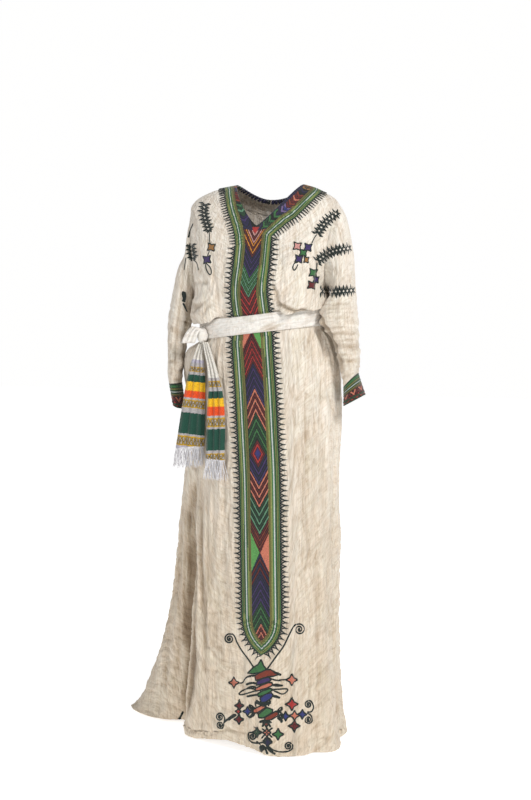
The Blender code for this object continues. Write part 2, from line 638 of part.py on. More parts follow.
def build_ribbon(name, table, material, cells=TAIL_CELLS, cuts=13):
    across, level = np.meshgrid(np.linspace(-1, 1, cells + 1), np.linspace(0, len(table) - 1, cuts))
    half = TAIL_WALL / 2

    def form(a, b):
        return ribbon(table, a, b)

    normal = normals_of(form, across, np.clip(level, 0.002, len(table) - 1.002))
    points = form(across, level)
    wall(name, points + normal * half, points - normal * half, grid_faces(*across.shape), material)


def build_knot(name, material):
    """A soft knot: a rounded block, squeezed at its middle."""
    rows, columns = 7, 10
    points, faces = [], []
    centre, radii = np.array(KNOT_CENTRE), np.array(KNOT_RADII)
    for i in range(1, rows):
        polar = math.pi * i / rows
        for j in range(columns):
            turn = 2 * math.pi * j / columns
            pinch = 1 - 0.12 * math.cos(2 * turn)
            direction = (
                math.sin(polar) * math.cos(turn) * pinch,
                math.sin(polar) * math.sin(turn) * pinch,
                math.cos(polar),
            )
            points.append(centre + radii * np.array(direction))
    faces = grid_faces(rows - 1, columns, closed=True)
    top, foot = len(points), len(points) + 1
    points += [centre + radii * (0, 0, 1), centre - radii * (0, 0, 1)]
    last = (rows - 2) * columns
    for j in range(columns):
        k = (j + 1) % columns
        faces += [(top, k, j), (foot, last + j, last + k)]
    solid(name, np.array(points), faces, material)


def build_fringe(name, table, strands, material):
    """A narrow strip just below a sash end, with strands drawn out of its lower side."""
    cells = 2 * strands - 1
    edge = np.linspace(-0.97, 0.97, cells + 1)
    last = len(table) - 1
    foot = ribbon(table, edge, np.full_like(edge, last))
    ahead = np.array((0, -1, 0)) * TAIL_WALL / 2
    top = foot + np.array((0, 0, -SEAM_GAP * 2))
    low = top + np.array((0, 0, -FRINGE_ROOT))
    points = list(np.concatenate((top + ahead, low + ahead, low - ahead, top - ahead)))
    n = cells + 1
    faces = []
    for i in range(cells):
        corners = [(i + k * n, i + 1 + k * n) for k in range(4)]
        for k in range(4):
            (a, b), (c, d) = corners[k], corners[(k + 1) % 4]
            if k == 1 and i % 2 == 0:
                continue
            faces += [(a, b, d), (a, d, c)]
    for i in (0, n - 1):
        faces += [(i, i + n, i + 2 * n), (i, i + 2 * n, i + 3 * n)]
    for i in range(0, cells, 2):
        ring = [i + n, i + 1 + n, i + 1 + 2 * n, i + 2 * n]
        root, centre = ring, np.mean([points[j] for j in ring], axis=0)
        splay = STRAND_SPLAY[(i // 2) % len(STRAND_SPLAY)]
        length = FRINGE_LENGTH * (1 - 0.12 * abs(splay))
        for share, thin in ((0.5, 0.8), (1.0, 0.45)):
            shift = np.array((splay * 0.012 * share, -abs(splay) * 0.006 * share, -length * share))
            start = len(points)
            points += [centre + (points[j] - centre) * thin + shift for j in root]
            new = list(range(start, start + 4))
            for k in range(4):
                a, b, c, d = ring[k], ring[(k + 1) % 4], new[(k + 1) % 4], new[k]
                faces += [(a, b, c), (a, c, d)]
            ring = new
        faces += [(ring[0], ring[1], ring[2]), (ring[0], ring[2], ring[3])]
    solid(name, np.array(points), faces, material)


def main():
    clear_scene()
    cotton = cloth_material("cotton_gauze", CREAM, 0.95)
    band = cloth_material("embroidered_band", PANEL_GREEN, 0.8)
    cuff_band = cloth_material("cuff_band", CUFF_GREEN, 0.8)
    sash = cloth_material("sash_cloth", SASH_WHITE, 0.9)
    stripes = cloth_material("striped_cloth", STRIPE_GREEN, 0.85)
    yarn = cloth_material("fringe_yarn", FRINGE_WHITE, 0.9)
    build_body(cotton)
    build_bands(band)
    build_sleeve("left", 1.0, SLEEVE_LEFT, CUFF_LEFT, cotton, cuff_band)
    build_sleeve("right", -1.0, SLEEVE_RIGHT, CUFF_RIGHT, cotton, cuff_band)
    build_sash(sash)
    build_knot("sash_knot", sash)
    build_ribbon("sash_loop", LOOP, sash, cells=4, cuts=5)
    build_ribbon("sash_tail_front", TAIL_FRONT, stripes)
    build_ribbon("sash_tail_back", TAIL_BACK, stripes)
    build_fringe("fringe_front", TAIL_FRONT, 22, yarn)
    build_fringe("fringe_back", TAIL_BACK, 14, yarn)


main()
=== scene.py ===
# %% [markdown]
# # A habesha kemis, hung as if it were worn
# A habesha kemis is a long cotton dress from the Ethiopian and Eritrean highlands. Its cloth is a
# hand-woven gauze that crinkles as it dries. A band of dense embroidery, the tibeb, goes round the
# neck and down the front, and a sash with striped, fringed ends ties the waist.
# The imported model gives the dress's solids. Every piece made here lies where one of them is, and
# stands for it with more detail than a solid needs.

import bmesh
import bpy
import numpy as np
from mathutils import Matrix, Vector
from mathutils.bvhtree import BVHTree
from mathutils.geometry import delaunay_2d_cdt
from mathutils.kdtree import KDTree


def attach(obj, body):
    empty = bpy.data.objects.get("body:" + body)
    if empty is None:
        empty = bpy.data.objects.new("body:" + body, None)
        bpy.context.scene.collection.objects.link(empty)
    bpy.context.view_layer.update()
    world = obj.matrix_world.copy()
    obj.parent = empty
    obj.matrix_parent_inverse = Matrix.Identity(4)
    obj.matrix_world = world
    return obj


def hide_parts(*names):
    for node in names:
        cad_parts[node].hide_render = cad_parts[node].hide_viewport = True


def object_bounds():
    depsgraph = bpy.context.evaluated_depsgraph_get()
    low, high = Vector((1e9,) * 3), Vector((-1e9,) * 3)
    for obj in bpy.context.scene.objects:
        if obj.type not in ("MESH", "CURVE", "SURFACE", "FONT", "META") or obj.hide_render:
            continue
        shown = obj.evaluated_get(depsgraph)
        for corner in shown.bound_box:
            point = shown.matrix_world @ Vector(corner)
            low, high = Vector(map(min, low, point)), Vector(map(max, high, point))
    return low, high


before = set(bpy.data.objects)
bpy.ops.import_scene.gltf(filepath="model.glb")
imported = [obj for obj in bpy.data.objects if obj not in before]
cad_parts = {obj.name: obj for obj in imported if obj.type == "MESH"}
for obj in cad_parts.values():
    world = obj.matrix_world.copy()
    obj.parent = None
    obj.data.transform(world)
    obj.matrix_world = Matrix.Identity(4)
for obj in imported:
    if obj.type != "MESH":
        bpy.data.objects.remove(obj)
cad_box = [list(corner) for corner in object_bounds()]
print("solids:", sorted(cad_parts), "in", cad_box)

# %% [markdown]
# ## The camera
# The photograph was taken a little from the wearer's left, from above the waist, with a long lens.
# The camera comes first, because some embroidery is placed by where it shows in the picture: a ray
# goes from the camera through that place until it meets the cloth.

# %% Camera
PICTURE_WIDTH, PICTURE_HEIGHT = 531, 800
FOCAL_PIXELS = 1440
SHIFT_PIXELS = 2.5
EYE = Vector((0.9317, -3.4773, -0.175))
TURN, DIP = np.radians(15.0), np.radians(5.631)
gaze = Vector((-np.sin(TURN) * np.cos(DIP), np.cos(TURN) * np.cos(DIP), -np.sin(DIP)))

camera = bpy.data.objects.new("camera", bpy.data.cameras.new("camera"))
bpy.context.scene.collection.objects.link(camera)
camera.location = EYE
camera.rotation_mode = "QUATERNION"
camera.rotation_quaternion = gaze.to_track_quat("-Z", "Y")
camera.data.sensor_width = 36
camera.data.lens = 36 * FOCAL_PIXELS / PICTURE_HEIGHT
camera.data.shift_x = SHIFT_PIXELS / PICTURE_HEIGHT
bpy.context.scene.camera = camera

eye_axes = np.array(camera.rotation_quaternion.to_matrix())


def seen_at(points):
    """Where points show in the picture, in pixels from its upper left corner."""
    local = (np.asarray(points) - np.array(EYE)) @ eye_axes
    x = PICTURE_WIDTH / 2 - SHIFT_PIXELS + FOCAL_PIXELS * local[..., 0] / -local[..., 2]
    y = PICTURE_HEIGHT / 2 - FOCAL_PIXELS * local[..., 1] / -local[..., 2]
    return x, y


def ray_through(x, y):
    """The direction of the ray from the camera through a place in the picture."""
    across = (x - PICTURE_WIDTH / 2 + SHIFT_PIXELS) / FOCAL_PIXELS
    up = (PICTURE_HEIGHT / 2 - y) / FOCAL_PIXELS
    return Vector(eye_axes @ np.array((across, up, -1.0))).normalized()


FRONT_DEPTH = 3.49


def drop_at(y, depth=FRONT_DEPTH):
    """How far below the shoulders a picture height lies on the dress's front, in metres."""
    slope = np.arctan((np.asarray(y, float) - PICTURE_HEIGHT / 2) / FOCAL_PIXELS) + DIP
    return -EYE.z + depth * np.tan(slope)


print("the waist is", round(float(drop_at(320)), 3), "m below the shoulders")

# %% [markdown]
# ## The shape of the cloth
# The solids were made from rows of measurements, from the neck edge down to the hem, with a smooth
# curve through them. The same rows and the same curves are used here, so the fine cloth lies just
# where the plain solids are. t runs round the front from the right side seam, -1, to the left, 1.

# %% Rows of the body
BODY_COLUMNS = (
    "front_z", "side_z", "back_z", "mid_x", "right", "left",
    "front_y", "side_y", "back_y", "wrap", "vee", "tilt", "skew",
)
BODY = np.array((
    (-0.097, 0.004, -0.030, 0.004, 0.071, 0.098, -0.078, 0.008, 0.078, 90, 1.25, 0.00, 0.00),
    (-0.142, -0.008, -0.056, 0.003, 0.132, 0.136, -0.098, 0.010, 0.096, 90, 1.45, 0.00, 0.00),
    (-0.178, -0.036, -0.090, 0.002, 0.184, 0.184, -0.110, 0.012, 0.106, 86, 1.70, 0.00, 0.00),
    (-0.205, -0.076, -0.130, 0.001, 0.180, 0.182, -0.118, 0.012, 0.114, 68, 1.90, 0.00, 0.00),
    (-0.233, -0.160, -0.190, -0.002, 0.170, 0.172, -0.123, 0.012, 0.118, 62, 2.00, 0.02, 0.00),
    (-0.254, -0.236, -0.242, -0.004, 0.164, 0.166, -0.122, 0.010, 0.118, 70, 2.00, 0.05, 0.00),
    (-0.270, -0.266, -0.268, -0.004, 0.160, 0.161, -0.119, 0.006, 0.115, 90, 2.00, 0.09, 0.00),
    (-0.287, -0.282, -0.287, -0.003, 0.158, 0.159, -0.115, 0.004, 0.112, 90, 2.00, 0.13, 0.00),
    (-0.301, -0.296, -0.300, -0.002, 0.157, 0.158, -0.112, 0.002, 0.110, 90, 2.00, 0.13, 0.00),
    (-0.309, -0.304, -0.308, -0.001, 0.156, 0.156, -0.111, 0.000, 0.109, 90, 2.00, 0.13, 0.00),
    (-0.313, -0.308, -0.312, 0.000, 0.155, 0.155, -0.110, 0.000, 0.108, 90, 2.00, 0.13, 0.00),
    (-0.357, -0.360, -0.360, 0.001, 0.158, 0.157, -0.110, 0.000, 0.109, 90, 2.00, 0.13, 0.00),
    (-0.387, -0.389, -0.389, 0.003, 0.184, 0.170, -0.115, 0.003, 0.117, 90, 2.00, 0.11, 0.00),
    (-0.430, -0.434, -0.434, 0.008, 0.201, 0.180, -0.122, 0.006, 0.126, 90, 2.00, 0.07, 0.00),
    (-0.500, -0.502, -0.502, 0.015, 0.214, 0.178, -0.131, 0.012, 0.136, 90, 2.00, 0.03, 0.00),
    (-0.580, -0.580, -0.580, 0.022, 0.223, 0.173, -0.141, 0.016, 0.146, 90, 2.00, 0.00, 0.01),
    (-0.700, -0.700, -0.700, 0.030, 0.237, 0.161, -0.150, 0.020, 0.160, 90, 2.00, 0.00, 0.04),
    (-0.840, -0.840, -0.840, 0.035, 0.263, 0.157, -0.160, 0.026, 0.178, 90, 2.00, 0.00, 0.08),
    (-0.980, -0.980, -0.980, 0.039, 0.286, 0.155, -0.167, 0.030, 0.198, 90, 2.00, 0.00, 0.12),
    (-1.100, -1.100, -1.100, 0.042, 0.306, 0.151, -0.172, 0.034, 0.216, 90, 2.00, 0.00, 0.15),
    (-1.220, -1.220, -1.220, 0.044, 0.326, 0.151, -0.176, 0.038, 0.236, 90, 2.00, 0.00, 0.18),
    (-1.330, -1.330, -1.330, 0.046, 0.348, 0.157, -0.181, 0.040, 0.258, 90, 2.00, 0.00, 0.21),
    (-1.382, -1.382, -1.382, 0.047, 0.360, 0.164, -0.182, 0.042, 0.268, 90, 2.00, 0.00, 0.22),
))
SHOULDER_ROW, UNDERARM_ROW, SASH_TOP_ROW, SASH_FOOT_ROW, HEM_ROW = 2, 6, 10, 11, 22
PANEL_SHARE = 0.18
PANEL_HALF = ((0, 9.5, 11.5), (0.0445, 0.0445, 0.050))
ARMHOLE_HALF = 0.055

# How far each row of the bodice moves out and down where it blouses over the sash
POUCH = np.array((
    (4.0, 0.000, 0.000), (5.0, 0.006, 0.000), (6.0, 0.018, 0.004), (7.0, 0.027, 0.012),
    (8.0, 0.021, 0.022), (9.0, 0.010, 0.000), (10.0, 0.000, 0.000),
))

# Large folds of the skirt: angle at the top and hem, start row, full row, depth, width in degrees
FOLDS = np.array((
    (-54, -52, 14.0, 21.0, -0.048, 8.0), (-38, -38, 13.0, 20.0, 0.007, 12.0),
    (-92, -90, 18.0, 22.0, 0.085, 20.0), (-112, -122, 15.0, 21.0, -0.018, 7.0),
    (-134, -142, 13.0, 20.0, 0.014, 9.0), (50, 48, 13.0, 20.0, -0.007, 6.0),
    (60, 64, 16.0, 22.0, 0.024, 13.0), (78, 82, 13.0, 20.0, -0.009, 6.0),
    (112, 116, 13.0, 20.0, -0.018, 8.0), (134, 138, 13.0, 20.0, 0.014, 9.0),
    (158, 160, 13.0, 20.0, -0.018, 8.0), (-158, -162, 13.0, 20.0, -0.016, 7.0),
))

# How far the hem stands off the floor, at angles from the centre front
HEM_ANGLES = (-180, -95, -70, -55, -45, -32, -16, -8, 2, 14, 30, 44, 62, 78, 100, 180)
HEM_LIFTS = (
    0.000, 0.000, 0.002, 0.007, 0.003, 0.002, 0.020, 0.016, 0.003, 0.000, 0.002, 0.002, 0.000,
    0.004, 0.002, 0.000,
)
print("body rows:", len(BODY))

# %% Curves through the rows


def smooth(x, low, high):
    share = np.clip((x - low) / (high - low), 0, 1)
    return share * share * (3 - 2 * share)


def track(table, row):
    """The table's columns at a fractional row, on a smooth curve through its rows."""
    row = np.clip(np.asarray(row, float), 0, len(table) - 1)
    at = np.minimum(row.astype(int), len(table) - 2)
    f = (row - at)[..., None]
    before, after = table[np.maximum(at - 1, 0)], table[np.minimum(at + 2, len(table) - 1)]
    start, end = table[at], table[at + 1]
    return start + 0.5 * f * (
        end - before
        + f * (2 * before - 5 * start + 4 * end - after + f * (3 * (start - end) + after - before))
    )


def body_row(row):
    r = dict(zip(BODY_COLUMNS, np.moveaxis(track(BODY, row), -1, 0)))
    inside = (row > SHOULDER_ROW) & (row < UNDERARM_ROW)
    phase = np.pi * (row - SHOULDER_ROW) / (UNDERARM_ROW - SHOULDER_ROW)
    r["arm"] = np.where(inside, ARMHOLE_HALF * np.sin(phase), 0)
    r["wrap"] = np.radians(np.where(row < SHOULDER_ROW - 1, 90, np.minimum(r["wrap"], 90)))
    return r


def turn_share(t, row, back):
    """How far round its quarter a column lies. The front's middle columns keep the panel's width."""
    across = np.abs(t)
    if back:
        return across
    r = body_row(row)
    half = np.where(t < 0, r["right"], r["left"])
    x = np.interp(row, *PANEL_HALF) * np.minimum(across / PANEL_SHARE, 1)
    inside = np.arcsin(np.clip(x / half * np.sin(r["wrap"]), 0, 1)) / r["wrap"]
    outside = np.clip((across - PANEL_SHARE) / (1 - PANEL_SHARE), 0, 1)
    return np.where(across <= PANEL_SHARE, inside, inside + (1 - inside) * outside)


def body_form(t, row, back):
    """The plain form of the body, without folds."""
    r = body_row(row)
    turn = turn_share(t, row, back) * r["wrap"]
    half = np.where(t < 0, r["right"], r["left"])
    out = np.sin(turn) / np.sin(r["wrap"])
    deep = (np.cos(turn) - np.cos(r["wrap"])) / (1 - np.cos(r["wrap"]))
    edge_y = r["side_y"] + (r["arm"] if back else -r["arm"])
    middle_y = r["back_y"] if back else r["front_y"]
    middle_z = r["back_z"] if back else r["front_z"]
    across = np.sign(t) * half * out
    x = r["mid_x"] + across
    y = edge_y + (middle_y - edge_y) * deep - r["skew"] * across
    power = np.full_like(out, 2.0) if back else r["vee"]
    z = middle_z + (r["side_z"] - middle_z) * out ** power + r["tilt"] * x
    return np.stack((x, y, z), -1)


def unit(vectors):
    return vectors / np.maximum(np.linalg.norm(vectors, axis=-1, keepdims=True), 1e-9)


def normals_of(form, a, b, step=1e-3):
    """Unit normals of a surface form(a, b), from its slopes."""
    da = form(a + step, b) - form(a - step, b)
    db = form(a, b + step) - form(a, b - step)
    return unit(np.cross(da, db))


def body_normal(form, t, row, back):
    n = normals_of(
        lambda a, b: form(a, b, back), np.clip(t, -0.998, 0.998), np.clip(row, 0.002, HEM_ROW - 0.002)
    )
    return n if back else -n


def body_angle(t, row, back):
    """Angle from the centre front, towards the wearer's left if positive."""
    turn = np.degrees(turn_share(t, row, back) * body_row(row)["wrap"])
    return np.where(t < 0, -1, 1) * (180 - turn if back else turn)


def fold_depth(t, row, back):
    angle = body_angle(t, row, back)
    total = np.zeros_like(angle)
    for top_angle, hem_angle, start, full, depth, width in FOLDS:
        fall = np.clip((row - start) / (full - start), 0, 1)
        away = (angle - top_angle - (hem_angle - top_angle) * fall + 180) % 360 - 180
        total += depth * fall ** 1.5 * np.exp(-((away / width) ** 2))
    return total


def pouch_share(t, back):
    """0 on the centre panel, 1 where the bodice blouses freely, little under the arms."""
    if back:
        return 0.7 * (1 - 0.5 * smooth(np.abs(t), 0.72, 0.96))
    under_arm = 1 - 0.65 * smooth(np.abs(t), 0.72, 0.96)
    return np.where(t < 0, smooth(-t, 0.28, 0.50), smooth(t, 0.20, 0.38)) * under_arm


def body_cloth(t, row, back):
    """The body with its pouch over the sash and its large folds."""
    t, row = np.broadcast_arrays(np.asarray(t, float), np.asarray(row, float))
    normal = body_normal(body_form, t, row, back)
    free = pouch_share(t, back)
    out = np.interp(row, POUCH[:, 0], POUCH[:, 1]) * free
    sag = np.interp(row, POUCH[:, 0], POUCH[:, 2]) * smooth(free, 0.20, 0.9)
    level = unit(normal * np.array((1, 1, 0)))
    moved = body_form(t, row, back) + level * (out + fold_depth(t, row, back))[..., None]
    lift = np.interp(body_angle(t, row, back), HEM_ANGLES, HEM_LIFTS)
    moved[..., 2] += lift * smooth(row, HEM_ROW - 3, HEM_ROW) - sag
    return moved


waist = body_cloth(np.array((-1.0, 1.0)), np.array((10.5, 10.5)), False)
print("waist width:", round(float(waist[1, 0] - waist[0, 0]), 3))

# %% [markdown]
# ## Crinkled gauze
# Hand-woven gauze dries in fine wandering ridges, mostly along the warp, with broader soft folds
# under them. Noise on a lattice makes both: its lumps are a few millimetres wide and many times as
# long. Real vertices move, so the ridges catch the light from any side.

# %% Noise for crinkles
CELLS = 256


def lumps(u, v, wide, long, seed):
    """Smooth noise from -1 to 1 whose lumps are wide by long, in metres."""
    table = np.random.default_rng(seed).uniform(-1, 1, (CELLS, CELLS))
    x, y = np.asarray(u) / wide, np.asarray(v) / long
    i, j = np.floor(x).astype(int), np.floor(y).astype(int)
    fx, fy = smooth(x - i, 0, 1), smooth(y - j, 0, 1)

    def at(di, dj):
        return table[(i + di) % CELLS, (j + dj) % CELLS]

    upper = at(0, 0) * (1 - fx) + at(1, 0) * fx
    lower = at(0, 1) * (1 - fx) + at(1, 1) * fx
    return upper * (1 - fy) + lower * fy


def ridges(u, v, wide, long, seed):
    """Pinched ridges, from -1 in the valleys to 1 on the crests."""
    return 1 - 2.4 * np.abs(lumps(u, v, wide, long, seed))


def crinkle(u, v, along, seed):
    """Height of the crinkles. along is the share that runs down the cloth, the rest runs across."""
    wander = 0.006 * lumps(u, v, 0.05, 0.04, seed + 1) + 0.012 * lumps(u, v, 0.12, 0.20, seed + 2)
    down = 0.6 * ridges(u + wander, v, 0.0085, 0.075, seed + 3)
    down += 0.4 * ridges(u + 1.6 * wander, v, 0.017, 0.16, seed + 4)
    over = ridges(v + 0.8 * wander, u, 0.011, 0.085, seed + 5)
    return along * down + (1 - along) * over


print("crinkle sample:", round(float(crinkle(0.1, 0.2, 0.8, 1)), 3))

# %% Grids of cloth


def metric(points):
    """Lengths across from the middle column and down from the top row, in metres."""
    across = np.linalg.norm(np.diff(points, axis=1), axis=-1).cumsum(1)
    across = np.concatenate((np.zeros_like(across[:, :1]), across), 1)
    across -= across[:, across.shape[1] // 2][:, None]
    down = np.linalg.norm(np.diff(points, axis=0), axis=-1).cumsum(0)
    down = np.concatenate((np.zeros_like(down[:1]), down), 0)
    return across, down


def cloth_piece(name, grids):
    """One mesh from grids of points. Each grid is (points, outward normals, uv or None, closed)."""
    points, faces, uvs = [], [], []
    start = 0
    for grid, normal, uv, closed in grids:
        rows, columns = grid.shape[:2]
        index = np.arange(rows * columns).reshape(rows, columns) + start
        if closed:
            index = np.concatenate((index, index[:, :1]), 1)
            if uv is not None:
                uv = np.concatenate((uv, uv[:, :1] + closed * np.array((1.0, 0.0))), 1)
        a, b, c, d = index[:-1, :-1], index[:-1, 1:], index[1:, 1:], index[1:, :-1]
        quads = np.stack((a, b, c, d), -1).reshape(-1, 4)
        flat = grid.reshape(-1, 3)
        q = quads - start
        facing = np.cross(flat[q[:, 2]] - flat[q[:, 0]], flat[q[:, 3]] - flat[q[:, 1]])
        outwards = (facing * normal.reshape(-1, 3)[q[:, 0]]).sum() > 0
        if uv is not None:
            corner = np.stack((uv[:-1, :-1], uv[:-1, 1:], uv[1:, 1:], uv[1:, :-1]), 2)
            corner = corner.reshape(-1, 4, 2)
        else:
            corner = np.zeros((len(quads), 4, 2))
        if not outwards:
            quads, corner = quads[:, ::-1], corner[:, ::-1]
        points.append(flat)
        faces.append(quads)
        uvs.append(corner)
        start += len(flat)
    return mesh_piece(name, np.concatenate(points), np.concatenate(faces), np.concatenate(uvs))


def shade_folds(obj, depth):
    """Keeps how deep each point lies in a placed fold, from 0 to 1, as painted shade that darkens the gauze's colour
    there.
    """
    values = np.zeros(len(obj.data.vertices))
    values[:depth.size] = np.clip(depth.reshape(-1), 0, 1)
    obj.data.attributes.new("fold", "FLOAT", "POINT").data.foreach_set("value", values)


def mesh_piece(name, points, quads, uv=None):
    mesh = bpy.data.meshes.new(name)
    mesh.from_pydata(points.tolist(), [], [list(map(int, q)) for q in quads])
    if uv is not None:
        layer = mesh.uv_layers.new(name="cloth")
        layer.data.foreach_set("uv", np.asarray(uv, float).reshape(-1))
    mesh.shade_smooth()
    obj = bpy.data.objects.new(name, mesh)
    bpy.context.scene.collection.objects.link(obj)
    print(name, len(quads), "faces")
    return obj


def cut_rows(step):
    """Rows about one step apart, which pass through every row of the table."""
    length = np.linalg.norm(np.diff(body_cloth(np.full(23, 0.4), np.arange(23.0), False), axis=0), axis=-1)
    parts = []
    for row, long in enumerate(length):
        count = ARM_STEPS if SHOULDER_ROW <= row < UNDERARM_ROW else max(2, round(long / step))
        parts.append(np.linspace(row, row + 1, count, endpoint=False))
    return np.append(np.concatenate(parts), HEM_ROW)


ARM_STEPS = 14
ROW_STEP = 0.0044
body_rows = cut_rows(ROW_STEP)
print("rows of the fine cloth:", len(body_rows))

# %% [markdown]
# ## Creases that the photograph shows
# Noise alone would put the folds anywhere. The deep ones are listed instead: each is a line
# in the picture with a width and a depth, and the cloth under that line sinks or rises.

# %% Placed creases
# x and y of both ends in the picture, half width in pixels, depth in millimetres, a ridge if positive
BODY_CREASES = (
    (193, 478, 191, 560, 3.4, -8.0), (191, 545, 190, 640, 4.2, -13.0), (190, 620, 189, 712, 4.4, -12.0),
    (200, 470, 205, 690, 2.4, -5.5), (182, 500, 176, 700, 2.6, -5.5), (197, 520, 199, 660, 1.8, 3.4),
    (173, 560, 164, 700, 2.8, -4.5), (211, 520, 212, 640, 3.0, -2.4), (180, 480, 172, 620, 2.4, -2.6),
    (222, 360, 226, 520, 2.6, -2.4), (216, 352, 214, 430, 2.2, -3.0), (207, 480, 209, 600, 2.0, -2.6),
    (325, 376, 338, 428, 1.8, -3.4), (313, 380, 318, 720, 3.2, -3.2), (302, 400, 305, 700, 4.0, -2.2),
    (322, 400, 328, 740, 3.4, -3.4), (304, 350, 309, 560, 3.0, -2.4), (296, 560, 300, 720, 3.6, -2.0),
    (291, 345, 296, 480, 2.6, -2.0), (331, 470, 336, 740, 2.6, -2.8), (226, 520, 222, 640, 3.4, -2.0),
    (187, 728, 200, 733, 1.7, -4.6), (198, 732, 214, 734, 1.7, -4.8),
    (211, 734, 229, 729, 1.7, -4.4), (226, 729, 251, 735, 1.6, -3.2), (187, 721, 212, 726, 2.2, -2.4),
    (150, 700, 176, 706, 1.8, -2.4), (270, 745, 300, 741, 1.8, -2.0), (296, 742, 336, 737, 1.8, -3.0),
    (316, 237, 317, 300, 1.8, -5.0), (300, 262, 292, 305, 2.2, -2.6), (309, 262, 306, 300, 2.2, -2.2),
    (283, 262, 276, 300, 2.0, -2.4), (288, 250, 305, 300, 2.4, 1.8), (272, 284, 279, 305, 2.0, -5.0),
    (277, 302, 289, 311, 2.1, -8.0), (287, 310, 305, 312, 2.1, -9.0), (303, 309, 314, 318, 2.0, -8.0),
    (197, 262, 214, 300, 2.2, -3.0), (209, 245, 219, 312, 2.0, -3.0), (207, 284, 200, 300, 2.4, 3.0),
    (205, 300, 190, 313, 2.2, -5.0), (212, 303, 199, 316, 2.2, -5.0), (190, 285, 208, 281, 2.0, -3.4),
    (186, 300, 200, 308, 1.8, -4.0), (222, 262, 226, 300, 1.8, -2.0),
    (186, 490, 184, 640, 1.1, -4.0), (195, 480, 196, 640, 1.0, -4.5), (200, 500, 201, 620, 1.0, -4.0),
    (192, 640, 186, 720, 1.5, -6.0), (189, 500, 188, 600, 0.9, -4.0), (208, 520, 205, 640, 0.9, -3.0),
)
# Wavy creases that run across the skirt: x, y, reach to each side, half width, depth
BODY_CREASES += tuple(
    (x - reach, y + 2 * ((k * 7) % 3 - 1), x + reach, y - 2 * ((k * 5) % 3 - 1), 1.3, -depth)
    for k, (x, y, reach, depth) in enumerate((
        (212, 601, 12, 1.5), (221, 613, 15, 1.6), (209, 624, 12, 1.8), (224, 637, 15, 1.8), (213, 648, 14, 2.0),
        (228, 660, 12, 1.6), (214, 671, 14, 2.0), (222, 684, 14, 1.8), (212, 696, 14, 2.0), (226, 707, 11, 1.5),
        (173, 640, 9, 1.5), (166, 662, 10, 1.8), (160, 684, 12, 1.8), (300, 640, 14, 1.2), (312, 668, 15, 1.4),
        (304, 762, 14, 1.2), (318, 700, 12, 1.4), (306, 590, 12, 1.2), (296, 520, 9, 1.2), (308, 460, 10, 1.2),
    ))
)


def line_depth(x, y, creases, spread=1.0):
    """Total height of the placed creases at places in the picture, in metres."""
    total = np.zeros(np.shape(x))
    for x0, y0, x1, y1, width, depth in creases:
        dx, dy = x1 - x0, y1 - y0
        long = np.hypot(dx, dy)
        along = ((x - x0) * dx + (y - y0) * dy) / long ** 2
        wander = 0.35 * width * np.sin(along * 7 + x0)
        off = ((x - x0) * dy - (y - y0) * dx) / long + wander
        ends = smooth(along, -0.10, 0.22) * (1 - smooth(along, 0.78, 1.10))
        total += 0.001 * depth * ends * np.exp(-((off / width / spread) ** 2))
    return total


print("placed creases:", len(BODY_CREASES))

# %% [markdown]
# ## Front and back
# Each is one sheet, gathered under the sash. The cloth edge turns in at the neck and at the hem, as
# a sewn garment's does, and that gives the edge its thickness without doubling the whole sheet.

# %% Front and back cloth


def gathers(t, row, down, back, seed):
    """Long pleats that spread from the sash to the hem, and short ones above it."""
    round_it = np.where(t < 0, -1, 1) * np.abs(t) ** 0.9 * 0.34
    below = smooth(row, 11.0, 12.2) * (1 - 0.35 * smooth(row, 17, HEM_ROW))
    above = 0.55 * smooth(row, 3.5, 5) * (1 - smooth(row, 8.0, 9.6))
    wave = 0.55 * ridges(round_it, down, 0.014, 0.38, seed) + 0.6 * lumps(round_it, down, 0.024, 0.55, seed + 1)
    near = smooth(row, 11.0, 11.4) * (1 - smooth(row, 12.0, 14.5))
    wave += 0.6 * near * ridges(round_it, down, 0.008, 0.2, seed + 2)
    return 0.0032 * wave * (below + above)


def hip_swell(points):
    """How far the gathered skirt swells beside the hand, just under the sash."""
    below = smooth(-points[..., 2], 0.372, 0.400) * (1 - smooth(-points[..., 2], 0.425, 0.52))
    return 0.015 * below * smooth(-points[..., 0], 0.10, 0.165)


